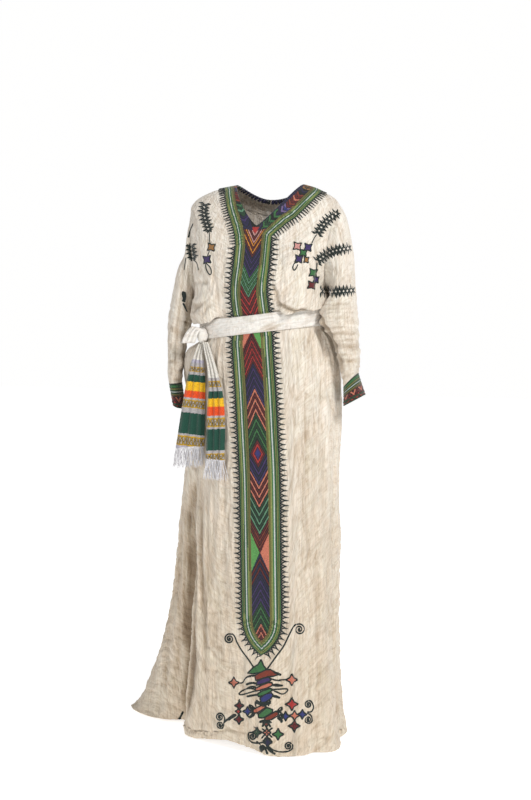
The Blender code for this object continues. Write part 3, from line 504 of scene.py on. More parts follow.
def fine_body(t, row, back, seed):
    """Fine cloth points, normals, metric coordinates, and the painted shade of its folds and crinkles."""
    base = body_cloth(t, row, back)
    normal = body_normal(body_cloth, t, row, back)
    across, down = metric(base)
    seam = 1 - smooth(np.abs(t), 0.965, 0.999)
    neck = smooth(row, 0.0, 2.4) if back else smooth(row, 1.6, 3.0)
    sash = 1 - smooth(row, 9.3, 9.9) * (1 - smooth(row, 11.0, 11.35))
    if back:
        panel = np.ones_like(t)
    else:
        foot = smooth(row, 19.0, 19.6)
        panel = np.maximum(smooth(np.abs(t), PANEL_SHARE + 0.02, PANEL_SHARE + 0.09), foot)
    skirt = smooth(row, 11, 13)
    along = np.where(row > 11, 0.82 - 0.34 * smooth(row, 15, 20), 0.70)
    height = (0.0021 + 0.0011 * skirt) * crinkle(across, down, along, seed)
    height += gathers(t, row, down, back, seed + 20)
    height += (0.0012 + 0.0012 * skirt) * lumps(across, down, 0.040, 0.10, seed + 30)
    height *= seam * neck * sash * panel
    x, y = seen_at(base)
    facing = smooth(-(normal @ np.array(gaze)), -0.05, 0.2)
    over_seam = np.maximum(seam, smooth(row, 12, 13))
    height += line_depth(x, y, BODY_CREASES) * over_seam * sash * panel * facing
    pucker = 0.0006 * lumps(across, down, 1.0, 0.007, seed + 40) * smooth(np.abs(t), 0.93, 0.98) * seam
    points = base + normal * (height + pucker - 0.0004)[..., None]
    points[..., 0] -= hip_swell(points)
    # Painted shade: the placed creases, the gathers' valleys and the crinkle valleys darken the gauze's colour.
    shade = line_depth(x, y, BODY_CREASES, 1.3) * facing * over_seam * sash * panel
    shade = np.clip(-shade / 0.010 - 0.12, 0,
        1) + 0.10 * np.clip(-gathers(t, row, down, back, seed + 20) / 0.003, 0, 1)
    shade += 0.46 * np.clip(-crinkle(across, down, along, seed) - 0.08, 0, 1) * seam * neck * sash * panel
    return points, normal, across, down, shade


def turned_edge(points, normal, down_step, width=0.018, bend=0.0011):
    """Rows that carry the cloth round its edge and up inside."""
    turns = np.radians((45, 100, 150, 180))
    rows = [points + down_step * bend * np.sin(a) - normal * bend * (1 - np.cos(a)) for a in turns]
    rows += [rows[-1] - down_step * width * share for share in (0.3, 1.0)]
    return rows


HEM_TURN = 0.018
body_columns_front = np.concatenate((
    np.linspace(-1, -PANEL_SHARE, 112, endpoint=False),
    np.linspace(-PANEL_SHARE, PANEL_SHARE, 30, endpoint=False),
    np.linspace(PANEL_SHARE, 1, 96),
))
body_columns_back = np.linspace(-1, 1, 210)


def build_body(name, columns, back, seed):
    t, row = np.meshgrid(columns, body_rows)
    points, normal, across, down, shade = fine_body(t, row, back, seed)
    step_down = unit(points[-1] - points[-3])
    hem = turned_edge(points[-1], normal[-1], step_down, HEM_TURN)
    hem = [np.where(np.arange(3) == 2, np.maximum(h, cad_box[0][2]), h) for h in hem]
    step_up = unit(points[0] - points[2])
    neck = turned_edge(points[0], normal[0], step_up, 0.012)[::-1]
    whole = np.concatenate((np.array(neck), points, np.array(hem)))
    normals = np.concatenate((
        np.repeat(normal[:1], len(neck), 0), normal, np.repeat(normal[-1:], len(hem), 0)
    ))
    uv = np.stack((across, -down), -1)
    extra = np.arange(1, len(hem) + 1)[:, None, None] * np.array((0.0, -0.003))
    lead = np.arange(len(neck), 0, -1)[:, None, None] * np.array((0.0, 0.003))
    uv = np.concatenate((uv[:1] + lead, uv, uv[-1:] + extra))
    obj = cloth_piece(name, [(whole, normals, uv, False)])
    shade_folds(obj, np.pad(shade, ((len(neck), len(hem)), (0, 0)), mode="edge"))
    return obj


front_cloth = build_body("front_cloth", body_columns_front, False, 100)
back_cloth = build_body("back_cloth", body_columns_back, True, 300)

# %% [markdown]
# ## Sleeves
# A sleeve is a tube whose first ring is the armhole itself, so no gap opens at the seam. Its lower
# half is pushed up into rings of crinkles, as a long sleeve is when it is held above the hand.

# %% Sleeves
SLEEVE_LEFT = np.array((
    (0.186, -0.036, 0.164, -0.252, 0.012, 0.055), (0.206, -0.072, 0.171, -0.256, 0.012, 0.066),
    (0.219, -0.132, 0.175, -0.266, 0.010, 0.068), (0.229, -0.196, 0.176, -0.284, 0.004, 0.067),
    (0.238, -0.258, 0.171, -0.310, -0.014, 0.063), (0.244, -0.318, 0.171, -0.346, -0.024, 0.056),
    (0.247, -0.378, 0.187, -0.395, -0.022, 0.046), (0.249, -0.424, 0.199, -0.445, -0.018, 0.038),
    (0.246, -0.456, 0.210, -0.492, -0.016, 0.031),
))
SLEEVE_RIGHT = np.array((
    (-0.184, -0.036, -0.168, -0.252, 0.012, 0.055), (-0.190, -0.082, -0.172, -0.260, 0.012, 0.062),
    (-0.197, -0.140, -0.176, -0.274, 0.010, 0.063), (-0.217, -0.196, -0.180, -0.292, 0.006, 0.061),
    (-0.230, -0.258, -0.184, -0.316, 0.000, 0.056), (-0.240, -0.318, -0.194, -0.350, -0.008, 0.048),
    (-0.240, -0.380, -0.201, -0.398, -0.018, 0.040), (-0.235, -0.436, -0.203, -0.446, -0.034, 0.033),
    (-0.229, -0.488, -0.199, -0.486, -0.050, 0.027),
))
CUFF_LEFT = np.array((
    (0.246, -0.456, 0.210, -0.492, -0.016, 0.031), (0.254, -0.480, 0.210, -0.514, -0.016, 0.030),
    (0.264, -0.508, 0.210, -0.537, -0.016, 0.030),
))
CUFF_RIGHT = np.array((
    (-0.229, -0.488, -0.199, -0.486, -0.050, 0.027), (-0.222, -0.514, -0.192, -0.516, -0.058, 0.026),
    (-0.214, -0.540, -0.185, -0.548, -0.066, 0.026),
))


def armhole(side, phi):
    """The armhole's loop: phi runs from the shoulder point down the front and up the back."""
    drop = UNDERARM_ROW - SHOULDER_ROW
    edge = np.full_like(phi, side)
    row_front = np.minimum(SHOULDER_ROW + drop * phi / np.pi, UNDERARM_ROW)
    row_back = np.minimum(SHOULDER_ROW + drop * (2 * np.pi - phi) / np.pi, UNDERARM_ROW)
    front = body_cloth(edge, row_front, False)
    rear = body_cloth(edge, row_back, True)
    return np.where((phi <= np.pi)[..., None], front, rear)


def ring_point(table, phi, level):
    out_x, out_z, in_x, in_z, mid_y, half_y = np.moveaxis(track(table, level), -1, 0)
    c, s = np.cos(phi), np.sin(phi)
    x = (out_x + in_x) / 2 + (out_x - in_x) / 2 * c
    z = (out_z + in_z) / 2 + (out_z - in_z) / 2 * c
    return np.stack((x, mid_y - half_y * s, z), -1)


def sleeve_form(side, table, phi, level):
    change = armhole(side, phi % (2 * np.pi)) - ring_point(table, phi, np.zeros_like(phi))
    return ring_point(table, phi, level) + change * (1 - smooth(level, 0.0, 1.6))[..., None]


def sleeve_normal(side, table, phi, level):
    level = np.clip(level, 0.002, len(table) - 1.002)
    return side * normals_of(lambda a, b: sleeve_form(side, table, a, b), phi, level)


# Creases of the sleeves, as for the body
SLEEVE_CREASES = {
    1.0: (
        (322, 305, 357, 303, 1.0, -2.0), (324, 309, 357, 308, 1.0, -1.6), (323, 313, 358, 312, 1.0, -2.0),
        (326, 318, 358, 318, 1.0, -1.8), (326, 322, 358, 321, 1.0, -1.6), (328, 328, 358, 327, 1.1, -2.2),
        (330, 335, 358, 334, 1.0, -1.8), (332, 341, 358, 340, 1.1, -2.0), (336, 349, 359, 346, 1.1, -1.8),
        (338, 355, 359, 354, 1.1, -2.0), (340, 363, 359, 361, 1.1, -1.6), (322, 238, 345, 262, 2.4, -1.6),
        (316, 312, 326, 330, 2.6, -6.0), (324, 326, 336, 350, 2.6, -6.0), (334, 346, 342, 372, 2.2, -4.5),
        (330, 215, 352, 250, 2.6, -1.4), (322, 262, 350, 284, 2.4, -1.4), (320, 246, 322, 300, 1.6, -2.4),
    ),
    -1.0: (
        (184, 250, 177, 340, 2.0, -2.0), (190, 260, 184, 370, 1.8, -2.2), (180, 300, 175, 380, 1.6, -2.0),
        (188, 330, 182, 384, 1.6, -2.2), (194, 210, 186, 262, 2.0, -1.4), (196, 290, 186, 330, 1.8, -2.2),
    ),
}
SLEEVE_ROWS = 150


def sleeve_sag(side, phi, level):
    """The full sleeve sags against the bodice on its inner side."""
    inner = np.clip(-np.cos(phi), 0, 1)
    ahead = 0.35 + 0.65 * smooth(np.sin(phi), -0.2, 0.5)
    if side > 0:
        reach = 0.022 * smooth(level, 2.2, 3.8) * (1 - smooth(level, 4.4, 5.8))
    else:
        reach = 0.009 * smooth(level, 3.6, 5.0) * (1 - smooth(level, 6.6, 8.0))
    drop = 0.3 * (side > 0)
    return (reach * inner * ahead)[..., None] * np.array((-side, -drop, 0.0))




def sleeve_length(table):
    middle = (table[:, (0, 1)] + table[:, (2, 3)]) / 2
    return np.linalg.norm(np.diff(middle, axis=0), axis=1).sum()


def build_sleeve(name, side, table, seed):
    top = len(table) - 1
    turns = 2 * ARM_STEPS * (UNDERARM_ROW - SHOULDER_ROW)
    phi, level = np.meshgrid(np.arange(turns) * 2 * np.pi / turns, np.linspace(0, top, SLEEVE_ROWS))
    base = sleeve_form(side, table, phi, level)
    normal = sleeve_normal(side, table, phi, level)
    base = base + sleeve_sag(side, phi, level)
    round_it = phi * 0.055
    down = level / top * sleeve_length(table)
    ends = smooth(level, 0.0, 0.35) * (1 - smooth(level, top - 0.35, top))
    wrap = np.cos(phi / 2) ** 2
    mix = 1 - 0.7 * smooth(level, 2.5, 4.5)
    fine = crinkle(np.minimum(round_it, 2 * np.pi * 0.055 - round_it), down, mix * 0.8 + 0.1, seed)
    height = 0.0016 * fine
    rings = ridges(down + 0.004 * np.sin(2 * phi + seed), wrap * 0.1, 0.011, 0.06, seed + 3)
    height += 0.0016 * rings * smooth(level, 3.6, 5.0)
    height += 0.002 * lumps(wrap * 0.2, down, 0.05, 0.05, seed + 9) * smooth(level, 0.5, 2.0)
    x, y = seen_at(base)
    facing = smooth(np.sin(phi), 0.0, 0.25)
    creases = line_depth(x, y, SLEEVE_CREASES[side]) * facing
    height += 1.3 * creases
    points = base + normal * (height * ends - 0.0004)[..., None]
    uv = np.stack((round_it, -down), -1)
    obj = cloth_piece(name, [(points, normal, uv, 2 * np.pi * 0.055)])
    # Painted shade: the sleeve's colour darkens in its creases, in the pushed-up rings' valleys and in the crinkle
    # valleys.
    valley_shade = 0.4 * np.clip(-rings, 0, 1) * smooth(level, 3.6, 5.0) + 0.42 * np.clip(-fine - 0.08, 0, 1)
    shade_folds(obj, np.clip(-creases * ends / 0.007, 0, 1) + valley_shade * ends)
    return obj


sleeve_left = build_sleeve("sleeve_left_cloth", 1.0, SLEEVE_LEFT, 500)
sleeve_right = build_sleeve("sleeve_right_cloth", -1.0, SLEEVE_RIGHT, 600)
print("sleeve lengths:", round(sleeve_length(SLEEVE_LEFT), 3), round(sleeve_length(SLEEVE_RIGHT), 3))

# %% [markdown]
# ## Colours of the threads
# Tibeb is worked in a few strong cottons. Each mesh face of a woven or embroidered band is about
# one stitch, and a colour attribute says which thread it is. The pattern is worked out by rules:
# stripes by the distance from the band's edge, and chevrons by a slope from the centre line.

# %% Thread colours
THREADS = {
    "black": (0.010, 0.013, 0.012), "dark_green": (0.016, 0.055, 0.026), "green": (0.045, 0.165, 0.055),
    "olive": (0.17, 0.18, 0.050), "lime": (0.245, 0.285, 0.090), "teal": (0.11, 0.27, 0.16),
    "white": (0.54, 0.60, 0.585), "brown": (0.11, 0.065, 0.025), "dark_red": (0.125, 0.014, 0.016),
    "red": (0.40, 0.030, 0.028), "salmon": (0.58, 0.185, 0.12), "pink": (0.62, 0.30, 0.28),
    "orange": (0.60, 0.22, 0.030), "purple": (0.050, 0.030, 0.130), "navy": (0.020, 0.018, 0.060),
    "blue": (0.030, 0.038, 0.19), "silver": (0.47, 0.45, 0.47), "gold": (0.42, 0.27, 0.045),
    "yellow": (0.88, 0.52, 0.010), "vermilion": (0.82, 0.085, 0.012), "sash_green": (0.007, 0.070, 0.045),
    "lilac": (0.50, 0.48, 0.60), "leaf": (0.11, 0.34, 0.09), "haze": (0.16, 0.11, 0.26),
    "cotton": (0.80, 0.775, 0.73), "brown_red": (0.22, 0.040, 0.022), "bronze": (0.36, 0.18, 0.06),
}


def paint(obj, colours):
    """One thread colour for each face, as a colour attribute."""
    mesh = obj.data
    layer = mesh.color_attributes.new("thread", "FLOAT_COLOR", "CORNER")
    rgba = np.concatenate((colours, np.ones((len(colours), 1))), 1)
    sizes = np.array([p.loop_total for p in mesh.polygons])
    layer.data.foreach_set("color", np.repeat(rgba, sizes, 0).reshape(-1))


def face_centres(obj):
    centres = np.zeros(len(obj.data.polygons) * 3)
    obj.data.polygons.foreach_get("center", centres)
    return centres.reshape(-1, 3)


print("thread colours:", len(THREADS))

# %% [markdown]
# ## The embroidered neck band and centre panel
# One band goes round the neck and down the front to a pointed foot. Its border stripes run along
# its outer edge, so every point's distance from that edge is measured with a k-d tree. Inside the
# border lies a column of chevrons.

# %% Outline of the band
OGIVE_TOP_DROP, OGIVE_TIP_DROP, OGIVE_POWER = 1.023, 1.136, 3.3
BAND_SHARES = (
    -1, -0.7, -0.522, -0.4, -0.309, -0.24, -0.2, -0.18, 0.18, 0.24, 0.35, 0.45, 0.6, 0.8, 0.9, 1,
)
BAND_FRONT_ROWS = (
    0.58, 0.54, 0.62, 0.73, 0.83, 0.97, 1.19, 1.54, 1.14, 1.11, 1.14, 1.25, 1.27, 1.27, 1.23, 1.12,
)
LAY_GAP, BAND_WALL = 0.0005, 0.0012
BORDER, LOW_BORDER = 0.0255, 0.0285


def panel_foot_row(t):
    """The row where the centre panel's pointed foot ends."""
    share = (1 - np.minimum(np.abs(t) / PANEL_SHARE, 1)) ** (1 / OGIVE_POWER)
    drop = OGIVE_TOP_DROP + (OGIVE_TIP_DROP - OGIVE_TOP_DROP) * share
    return np.interp(drop, -BODY[:, 0], np.arange(len(BODY)))


def neck_foot_row(t):
    return np.interp(t, BAND_SHARES, BAND_FRONT_ROWS)


def laid_on(t, row, height, back=False):
    """Points at a height over the plain cloth."""
    t, row = np.asarray(t, float), np.asarray(row, float)
    return body_cloth(t, row, back) + body_normal(body_cloth, t, row, back) * np.asarray(height)[..., None]


def half_outline(side):
    """The outer edge of one half of the band, from the shoulder seam down to the tip."""
    neck_t = np.linspace(1.0, PANEL_SHARE, 160)
    neck_row = neck_foot_row(neck_t * side)
    side_row = np.linspace(neck_row[-1], panel_foot_row(np.array(PANEL_SHARE)), 700)[1:]
    bend = PANEL_SHARE * (1 - np.linspace(0, 1, 220)[1:] ** 2.6)
    t = np.concatenate((neck_t, np.full_like(side_row, PANEL_SHARE), bend))
    row = np.concatenate((neck_row, side_row, panel_foot_row(bend)))
    return t * side, row


def even_path(points, step):
    """Evenly spaced points along a path, with their place along it."""
    length = np.concatenate(((0,), np.linalg.norm(np.diff(points, axis=0), axis=1).cumsum()))
    at = np.linspace(0, length[-1], max(2, round(length[-1] / step) + 1))
    return np.stack([np.interp(at, length, points[:, k]) for k in range(points.shape[1])], 1), at


outlines = {side: half_outline(side) for side in (1, -1)}
edge_left, along_left = even_path(laid_on(*outlines[1], np.full(len(outlines[1][0]), 0.0017)), 0.001)
edge_right, along_right = even_path(laid_on(*outlines[-1], np.full(len(outlines[-1][0]), 0.0017)), 0.001)
edge_points = np.concatenate((edge_left, edge_right))
edge_along = np.concatenate((along_left, along_right))
edge_tree = KDTree(len(edge_points))
for number, point in enumerate(edge_points):
    edge_tree.insert(point, number)
edge_tree.balance()
print("length of the band's edge on each side:", round(float(along_left[-1]), 3))

# %% Chevrons of the centre column
# Each zone: picture heights of its first and last point on the centre line, its thread, its second
# thread, and the number of lines. V zones point down, A zones point up.
V_TOP = (
    (234.5, 245, "pink", "dark_red", 3), (245, 259, "orange", "dark_red", 4), (259, 279, "navy", "purple", 6),
    (279, 299, "green", "teal", 6), (299, 347, "dark_red", "red", 11),
)
A_TOP = (
    (330, 336, "dark_red", "dark_red", 1), (336, 363, "dark_red", "red", 7), (363, 388, "navy", "purple", 6),
    (388, 412, "salmon", "dark_red", 5), (412, 452, "dark_green", "green", 8),
)
V_LOW = (
    (452, 484, "purple", "navy", 7), (484, 506, "salmon", "dark_red", 5),
    (506, 532, "dark_green", "teal", 6), (532, 549, "dark_red", "brown_red", 5),
)
A_LOW = (
    (549, 570, "navy", "dark_red", 5), (570, 596, "navy", "purple", 6), (596, 617, "dark_green", "green", 5),
    (617, 640, "salmon", "dark_red", 6), (640, 662, "olive", "green", 4),
)
CHEVRON_SLOPE = 1.8
COLUMN_HALF = 0.0215
DIAMOND_Y, DIAMOND_HALF = 451.5, 0.037
CROSSING_Y, CROSSING_HALF = 548.0, 0.047
SASH_Y, TOP_TRIANGLE_FOOT = 322, 348


def zone_threads(height, zones, line_share=0.54):
    """Threads and relief where height is measured down the centre line, in metres."""
    colour = np.tile(np.array(THREADS["black"]), (len(height), 1))
    relief = np.zeros(len(height))
    for first, last, thread, second, count in zones:
        low, high = drop_at(first), drop_at(last)
        share = (height - low) / (high - low)
        inside = (share >= 0) & (share < 1)
        line = share * count
        on_line = inside & (line % 1 < line_share)
        odd = (line.astype(int) % 2).astype(bool)
        colour[on_line & ~odd] = THREADS[thread]
        colour[on_line & odd] = THREADS[second]
        relief[on_line] = np.sin(np.pi * (line[on_line] % 1) / line_share)
    return colour, relief


def column_threads(x, y):
    """Threads of the centre column, x from its middle and y down from the shoulders."""
    wide = np.abs(x) * CHEVRON_SLOPE
    colour, relief = zone_threads(y + wide, V_TOP)
    crest = (y > drop_at(226.8)) & (y + wide * 0.75 < drop_at(233.4))
    colour[crest], relief[crest] = THREADS["red"], 0.8
    parts = (
        (y > drop_at(SASH_Y), y - wide * 1.15, A_TOP),
        (y > drop_at(DIAMOND_Y), y + wide, V_LOW),
        (y > drop_at(CROSSING_Y), y - wide, A_LOW),
    )
    for where, height, zones in parts:
        new, rise = zone_threads(height, zones)
        colour, relief = np.where(where[:, None], new, colour), np.where(where, rise, relief)
    # Triangles under the sash
    edge = COLUMN_HALF * (y - drop_at(330)) / (drop_at(TOP_TRIANGLE_FOOT) - drop_at(330))
    corner = (y > drop_at(SASH_Y)) & (np.abs(x) > edge) & (y < drop_at(TOP_TRIANGLE_FOOT))
    colour[corner & (x < 0)] = THREADS["salmon"]
    colour[corner & (x >= 0)] = THREADS["leaf"]
    # Diamond with a blue heart
    from_heart = np.abs(x) * 1.85 + np.abs(y - drop_at(DIAMOND_Y))
    rings = ((DIAMOND_HALF, "black"), (0.033, "dark_red"), (0.0275, "black"), (0.0245, "red"),
             (0.018, "black"), (0.0145, "purple"), (0.0075, "blue"))
    for size, thread in rings:
        colour[from_heart < size] = THREADS[thread]
    # Crossing, with a triangle at each side
    level = np.abs(y - drop_at(CROSSING_Y))
    side = level < CROSSING_HALF * (np.abs(x) / COLUMN_HALF) - 0.003
    colour[side & (x < 0)] = THREADS["leaf"]
    colour[side & (x >= 0)] = THREADS["salmon"]
    relief[corner | side | (from_heart < DIAMOND_HALF)] = 0.6
    return colour, relief


# Threads of the strip beside the neck opening, from the shoulder down to the V
NECK_THREADS = {
    -1: ("black", "brown", "black", "purple", "orange", "purple", "navy", "dark_red", "brown_red", "dark_red",
         "brown_red", "black", "green", "dark_green", "teal", "dark_green", "navy", "purple", "navy"),
    1: ("bronze", "brown", "salmon", "brown", "bronze", "black", "navy", "black", "brown_red", "dark_red", "salmon",
        "dark_red", "brown_red", "dark_red", "haze", "blue", "haze", "navy", "green", "black", "green", "dark_green",
        "green", "navy", "purple"),
}
NECK_PITCH, STRIP_MIDDLE = 0.0088, 0.009


def neck_threads(along, inwards, side):
    """Nested chevrons of the strip that borders the neck opening."""
    phase = (along + 0.9 * np.minimum(np.abs(inwards - STRIP_MIDDLE), 0.011)) / NECK_PITCH
    rows = [np.array([THREADS[n] for n in NECK_THREADS[way]]) for way in (-1, 1)]
    picked = [names[np.clip(phase.astype(int), 0, len(names) - 1)] for names in rows]
    colour = np.where((side < 0)[:, None], *picked)
    colour = np.where((inwards > STRIP_MIDDLE + 0.011)[:, None], np.array(THREADS["navy"]), colour)
    gap = phase % 1 > 0.70
    colour = np.where(gap[:, None], np.array(THREADS["black"]), colour)
    return colour, np.where(gap, 0.0, np.sin(np.pi * (phase % 1) / 0.70))


# Border stripes from the outer edge inwards: where each starts as a share of the border, its thread
BORDER_STRIPES = (
    (0.00, "black"), (0.06, "green"), (0.11, "olive"), (0.19, "dark_green"), (0.22, "lime"), (0.30, "black"),
    (0.335, "green"), (0.40, "dark_green"), (0.45, "white"), (0.535, "dark_green"), (0.58, "green"),
    (0.65, "black"), (0.68, "lime"), (0.76, "black"), (0.79, "olive"), (0.86, "brown"), (0.92, "olive"),
    (0.965, "black"),
)


def border_threads(share):
    starts = np.array([s for s, _ in BORDER_STRIPES])
    names = np.array([THREADS[n] for _, n in BORDER_STRIPES])
    at = np.clip(np.searchsorted(starts, share, "right") - 1, 0, len(starts) - 1)
    low = starts[at]
    high = np.append(starts[1:], 1.0)[at]
    return names[at], np.sin(np.pi * np.clip((share - low) / (high - low), 0, 1)) ** 0.7


def band_threads(points):
    """Threads and relief for points of the front band, with their distance from its edge."""
    found = [edge_tree.find(p) for p in points]
    number = np.array([f[1] for f in found])
    inwards = np.array([f[2] for f in found])
    along = edge_along[number]
    border = BORDER + (LOW_BORDER - BORDER) * smooth(-points[:, 2], 0.30, 0.36)
    colour, relief = border_threads(inwards / border)
    x = points[:, 0] - np.interp(-points[:, 2], -BODY[:, 0], BODY[:, 3])
    y = -points[:, 2]
    column, rise = column_threads(x, y)
    strip, strip_rise = neck_threads(along, inwards - border, x)
    is_neck = (y < drop_at(230.5) - 0.15 * np.abs(x)) & (np.abs(x) > 0.4 * (drop_at(236) - y))
    column = np.where(is_neck[:, None], strip, column)
    rise = np.where(is_neck, strip_rise, rise)
    inner = inwards > border
    return np.where(inner[:, None], column, colour), np.where(inner, rise, relief), inwards, along


print("chevron zones:", len(V_TOP) + len(A_TOP) + len(V_LOW) + len(A_LOW))

# %% Front band
THREAD_RELIEF = 0.00045
BAND_RIM = -0.0006


def band_grid(t, row, back=False):
    """A band's plain grid laid over the cloth, with the cloth's normals under it."""
    flat = laid_on(t, row, np.full(t.shape, LAY_GAP + BAND_WALL), back)
    normal = body_normal(body_cloth, t, row, back)
    return flat, normal


def rim_rows(points, normal, at_top, at_foot, at_sides):
    """Adds an outer ring of points that goes down to the cloth."""
    sink = (LAY_GAP + BAND_WALL - BAND_RIM)
    if at_top:
        step = unit(points[0] - points[1])
        over = [points[:1] + step * 0.0012 - normal[:1] * 0.0012, points[:1] + step * 0.0010 - normal[:1] * 0.0045,
                points[:1] - step * 0.010 - normal[:1] * 0.0050]
        points = np.concatenate((*over[::-1], points))
        normal = np.concatenate((np.repeat(normal[:1], 3, 0), normal))
    if at_foot:
        points = np.concatenate((points, points[-1:] - normal[-1:] * sink))
        normal = np.concatenate((normal, normal[-1:]))
    if at_sides:
        points = np.concatenate((points[:, :1] - normal[:, :1] * sink, points,
            points[:, -1:] - normal[:, -1:] * sink), 1)
        normal = np.concatenate((normal[:, :1], normal, normal[:, -1:]), 1)
    return points, normal


PANEL_COLUMNS, PANEL_ROWS = 66, 620
NECK_COLUMNS, NECK_ROWS = 130, 44
panel_t, panel_k = np.meshgrid(np.linspace(-PANEL_SHARE, PANEL_SHARE, PANEL_COLUMNS + 1),
    np.linspace(0, 1, PANEL_ROWS + 1))
# Columns that spread evenly along the ogive as well
panel_row_of = np.interp(
    panel_k * np.interp(panel_foot_row(panel_t), np.arange(23), -BODY[:, 0] - 0.097),
    -BODY[:, 0] - 0.097, np.arange(23),
)
band_grids = [(panel_t, panel_row_of, True)]
for side in (-1, 1):
    neck_t = np.linspace(PANEL_SHARE, 1.0, NECK_COLUMNS + 1) * side
    neck_t, neck_k = np.meshgrid(neck_t, np.linspace(0, 1, NECK_ROWS + 1))
    band_grids.append((neck_t, neck_k * neck_foot_row(neck_t), False))

made = []
for t, row, is_panel in band_grids:
    points, normal = band_grid(t, row)
    flat = points.reshape(-1, 3)
    _, relief, inwards, along = band_threads(flat)
    uv = np.stack((inwards, along), -1).reshape(*t.shape, 2)
    points = points + normal * (THREAD_RELIEF * relief.reshape(t.shape) - THREAD_RELIEF * 0.3)[..., None]
    points, normal = rim_rows(points, normal, True, True, is_panel)
    pad = ((3, 1), (1, 1) if is_panel else (0, 0), (0, 0))
    made.append((points, normal, np.pad(uv, pad, mode="edge"), False))
band_front = cloth_piece("band_front_tibeb", made)
band_colours, _, _, _ = band_threads(face_centres(band_front))
paint(band_front, band_colours)

# %% Back band
BAND_BACK_SHARES, BAND_BACK_ROWS = (-1.0, -0.5, 0.0, 0.5, 1.0), (0.58, 1.10, 1.40, 1.35, 1.12)
back_t, back_k = np.meshgrid(np.linspace(-1, 1, 301), np.linspace(0, 1, 37))
back_foot = np.interp(back_t, BAND_BACK_SHARES, BAND_BACK_ROWS)
points, normal = band_grid(back_t, back_k * back_foot, True)
across, down = metric(points)
wide = down[-1:]
along = np.abs(across)
share = (wide - down) / BORDER


def back_threads(share, along, inwards):
    border, relief = border_threads(share)
    strip, rise = neck_threads(along % 0.15, inwards - BORDER, along - 0.15)
    inner = share > 1
    return np.where(inner[:, None], strip, border), np.where(inner, rise, relief)


flat_share, flat_along, flat_in = share.reshape(-1), along.reshape(-1), (wide - down).reshape(-1)
_, relief = back_threads(flat_share, flat_along, flat_in)
points = points + normal * (THREAD_RELIEF * relief.reshape(share.shape) - THREAD_RELIEF * 0.3)[..., None]
points, normal = rim_rows(points, normal, True, True, False)
uv = np.pad(np.stack((wide - down, along), -1), ((3, 1), (0, 0), (0, 0)), mode="edge")
band_back = cloth_piece("band_back_tibeb", [(points, normal, uv, False)])


def corner_means(obj):
    """Mean of each face's UV coordinates."""
    layer = obj.data.uv_layers["cloth"]
    uv = np.zeros(len(layer.data) * 2)
    layer.data.foreach_get("uv", uv)
    return uv.reshape(-1, 4, 2).mean(1)


centre = corner_means(band_back)
colours, _ = back_threads(centre[:, 0] / BORDER, centre[:, 1], centre[:, 0])
paint(band_back, colours)

# %% [markdown]
# ## Cuffs
# The cuffs are a stiffer tibeb: stripes round the wrist, then a row of dark red chevrons.

# %% Cuffs
CUFF_STRIPES = (
    (0.00, "black"), (0.05, "dark_green"), (0.12, "green"), (0.20, "black"), (0.23, "olive"),
    (0.31, "dark_green"), (0.35, "white"), (0.40, "dark_green"), (0.44, "olive"), (0.50, "brown"),
    (0.55, "black"),
)


def cuff_threads(down_share, around):
    starts = np.array([s for s, _ in CUFF_STRIPES])
    names = np.array([THREADS[n] for _, n in CUFF_STRIPES])
    at = np.clip(np.searchsorted(starts, down_share, "right") - 1, 0, len(starts) - 1)
    colour = names[at]
    phase = np.abs((around / 0.022) % 1 - 0.5) * 2
    line = (down_share * 6 + phase * 1.6) % 1
    cycle = np.array([THREADS[n] for n in ("dark_red", "red", "dark_red", "purple", "salmon")])
    chevron = cycle[((down_share * 6 + phase * 1.6).astype(int)) % len(cycle)]
    chevron = np.where((line > 0.6)[:, None], np.array(THREADS["black"]), chevron)
    colour = np.where((down_share > 0.57)[:, None], chevron, colour)
    return np.where((down_share > 0.94)[:, None], np.array(THREADS["dark_green"]), colour)


def build_cuff(name, side, table):
    turns, rows = 150, 34
    top = len(table) - 1
    phi, level = np.meshgrid(np.arange(turns) * 2 * np.pi / turns, np.linspace(0, top, rows))
    points = ring_point(table, phi, level)
    form = lambda a, b: ring_point(table, a, b)  # noqa: E731
    normal = side * normals_of(form, phi, np.clip(level, 0.002, top - 0.002))
    round_it = phi * np.linalg.norm(points[0, 0] - points[0, turns // 2]) / 2
    points = points + normal * 0.0003 * np.sin(level / top * rows * 1.2)[..., None]
    step = unit(points[-1] - points[-2])
    hem = turned_edge(points[-1], normal[-1], step, 0.010, 0.0009)
    uv = np.stack((round_it, level / top), -1)
    uv = np.concatenate((uv, uv[-1:] + np.arange(1, len(hem) + 1)[:, None, None] * np.array((0, 0.02))))
    points = np.concatenate((points, np.array(hem)))
    normal = np.concatenate((normal, np.repeat(normal[-1:], len(hem), 0)))
    obj = cloth_piece(name, [(points, normal, uv, float(round_it[0, -1] - round_it[0, 0]))])
    centre = corner_means(obj)
    paint(obj, cuff_threads(np.minimum(centre[:, 1], 1), centre[:, 0]))
    return obj


cuff_left = build_cuff("cuff_left_tibeb", 1.0, CUFF_LEFT)
cuff_right = build_cuff("cuff_right_tibeb", -1.0, CUFF_RIGHT)

# %% [markdown]
# ## The sash
# The sash is a long folded strip. Round the waist it lies flat over the panel, pulled into a few
# shallow slanting creases.

# %% Sash round the waist
SASH_WALL = 0.0020
SASH_FOLDS = (0.0004, 0.0030, 0.0012, 0.0004)
SASH_SHARES = (0.0, 0.35, 0.70, 1.0)


def sash_rings(count_front, count_back):
    front = np.concatenate((
        np.linspace(-1, -PANEL_SHARE, count_front // 3, endpoint=False),
        np.linspace(-PANEL_SHARE, PANEL_SHARE, count_front // 4, endpoint=False),
        np.linspace(PANEL_SHARE, 1, count_front // 3),
    ))
    rear = np.linspace(1, -1, count_back)[1:-1]
    t = np.concatenate((front, rear))
    return t, np.arange(len(t)) >= len(front)


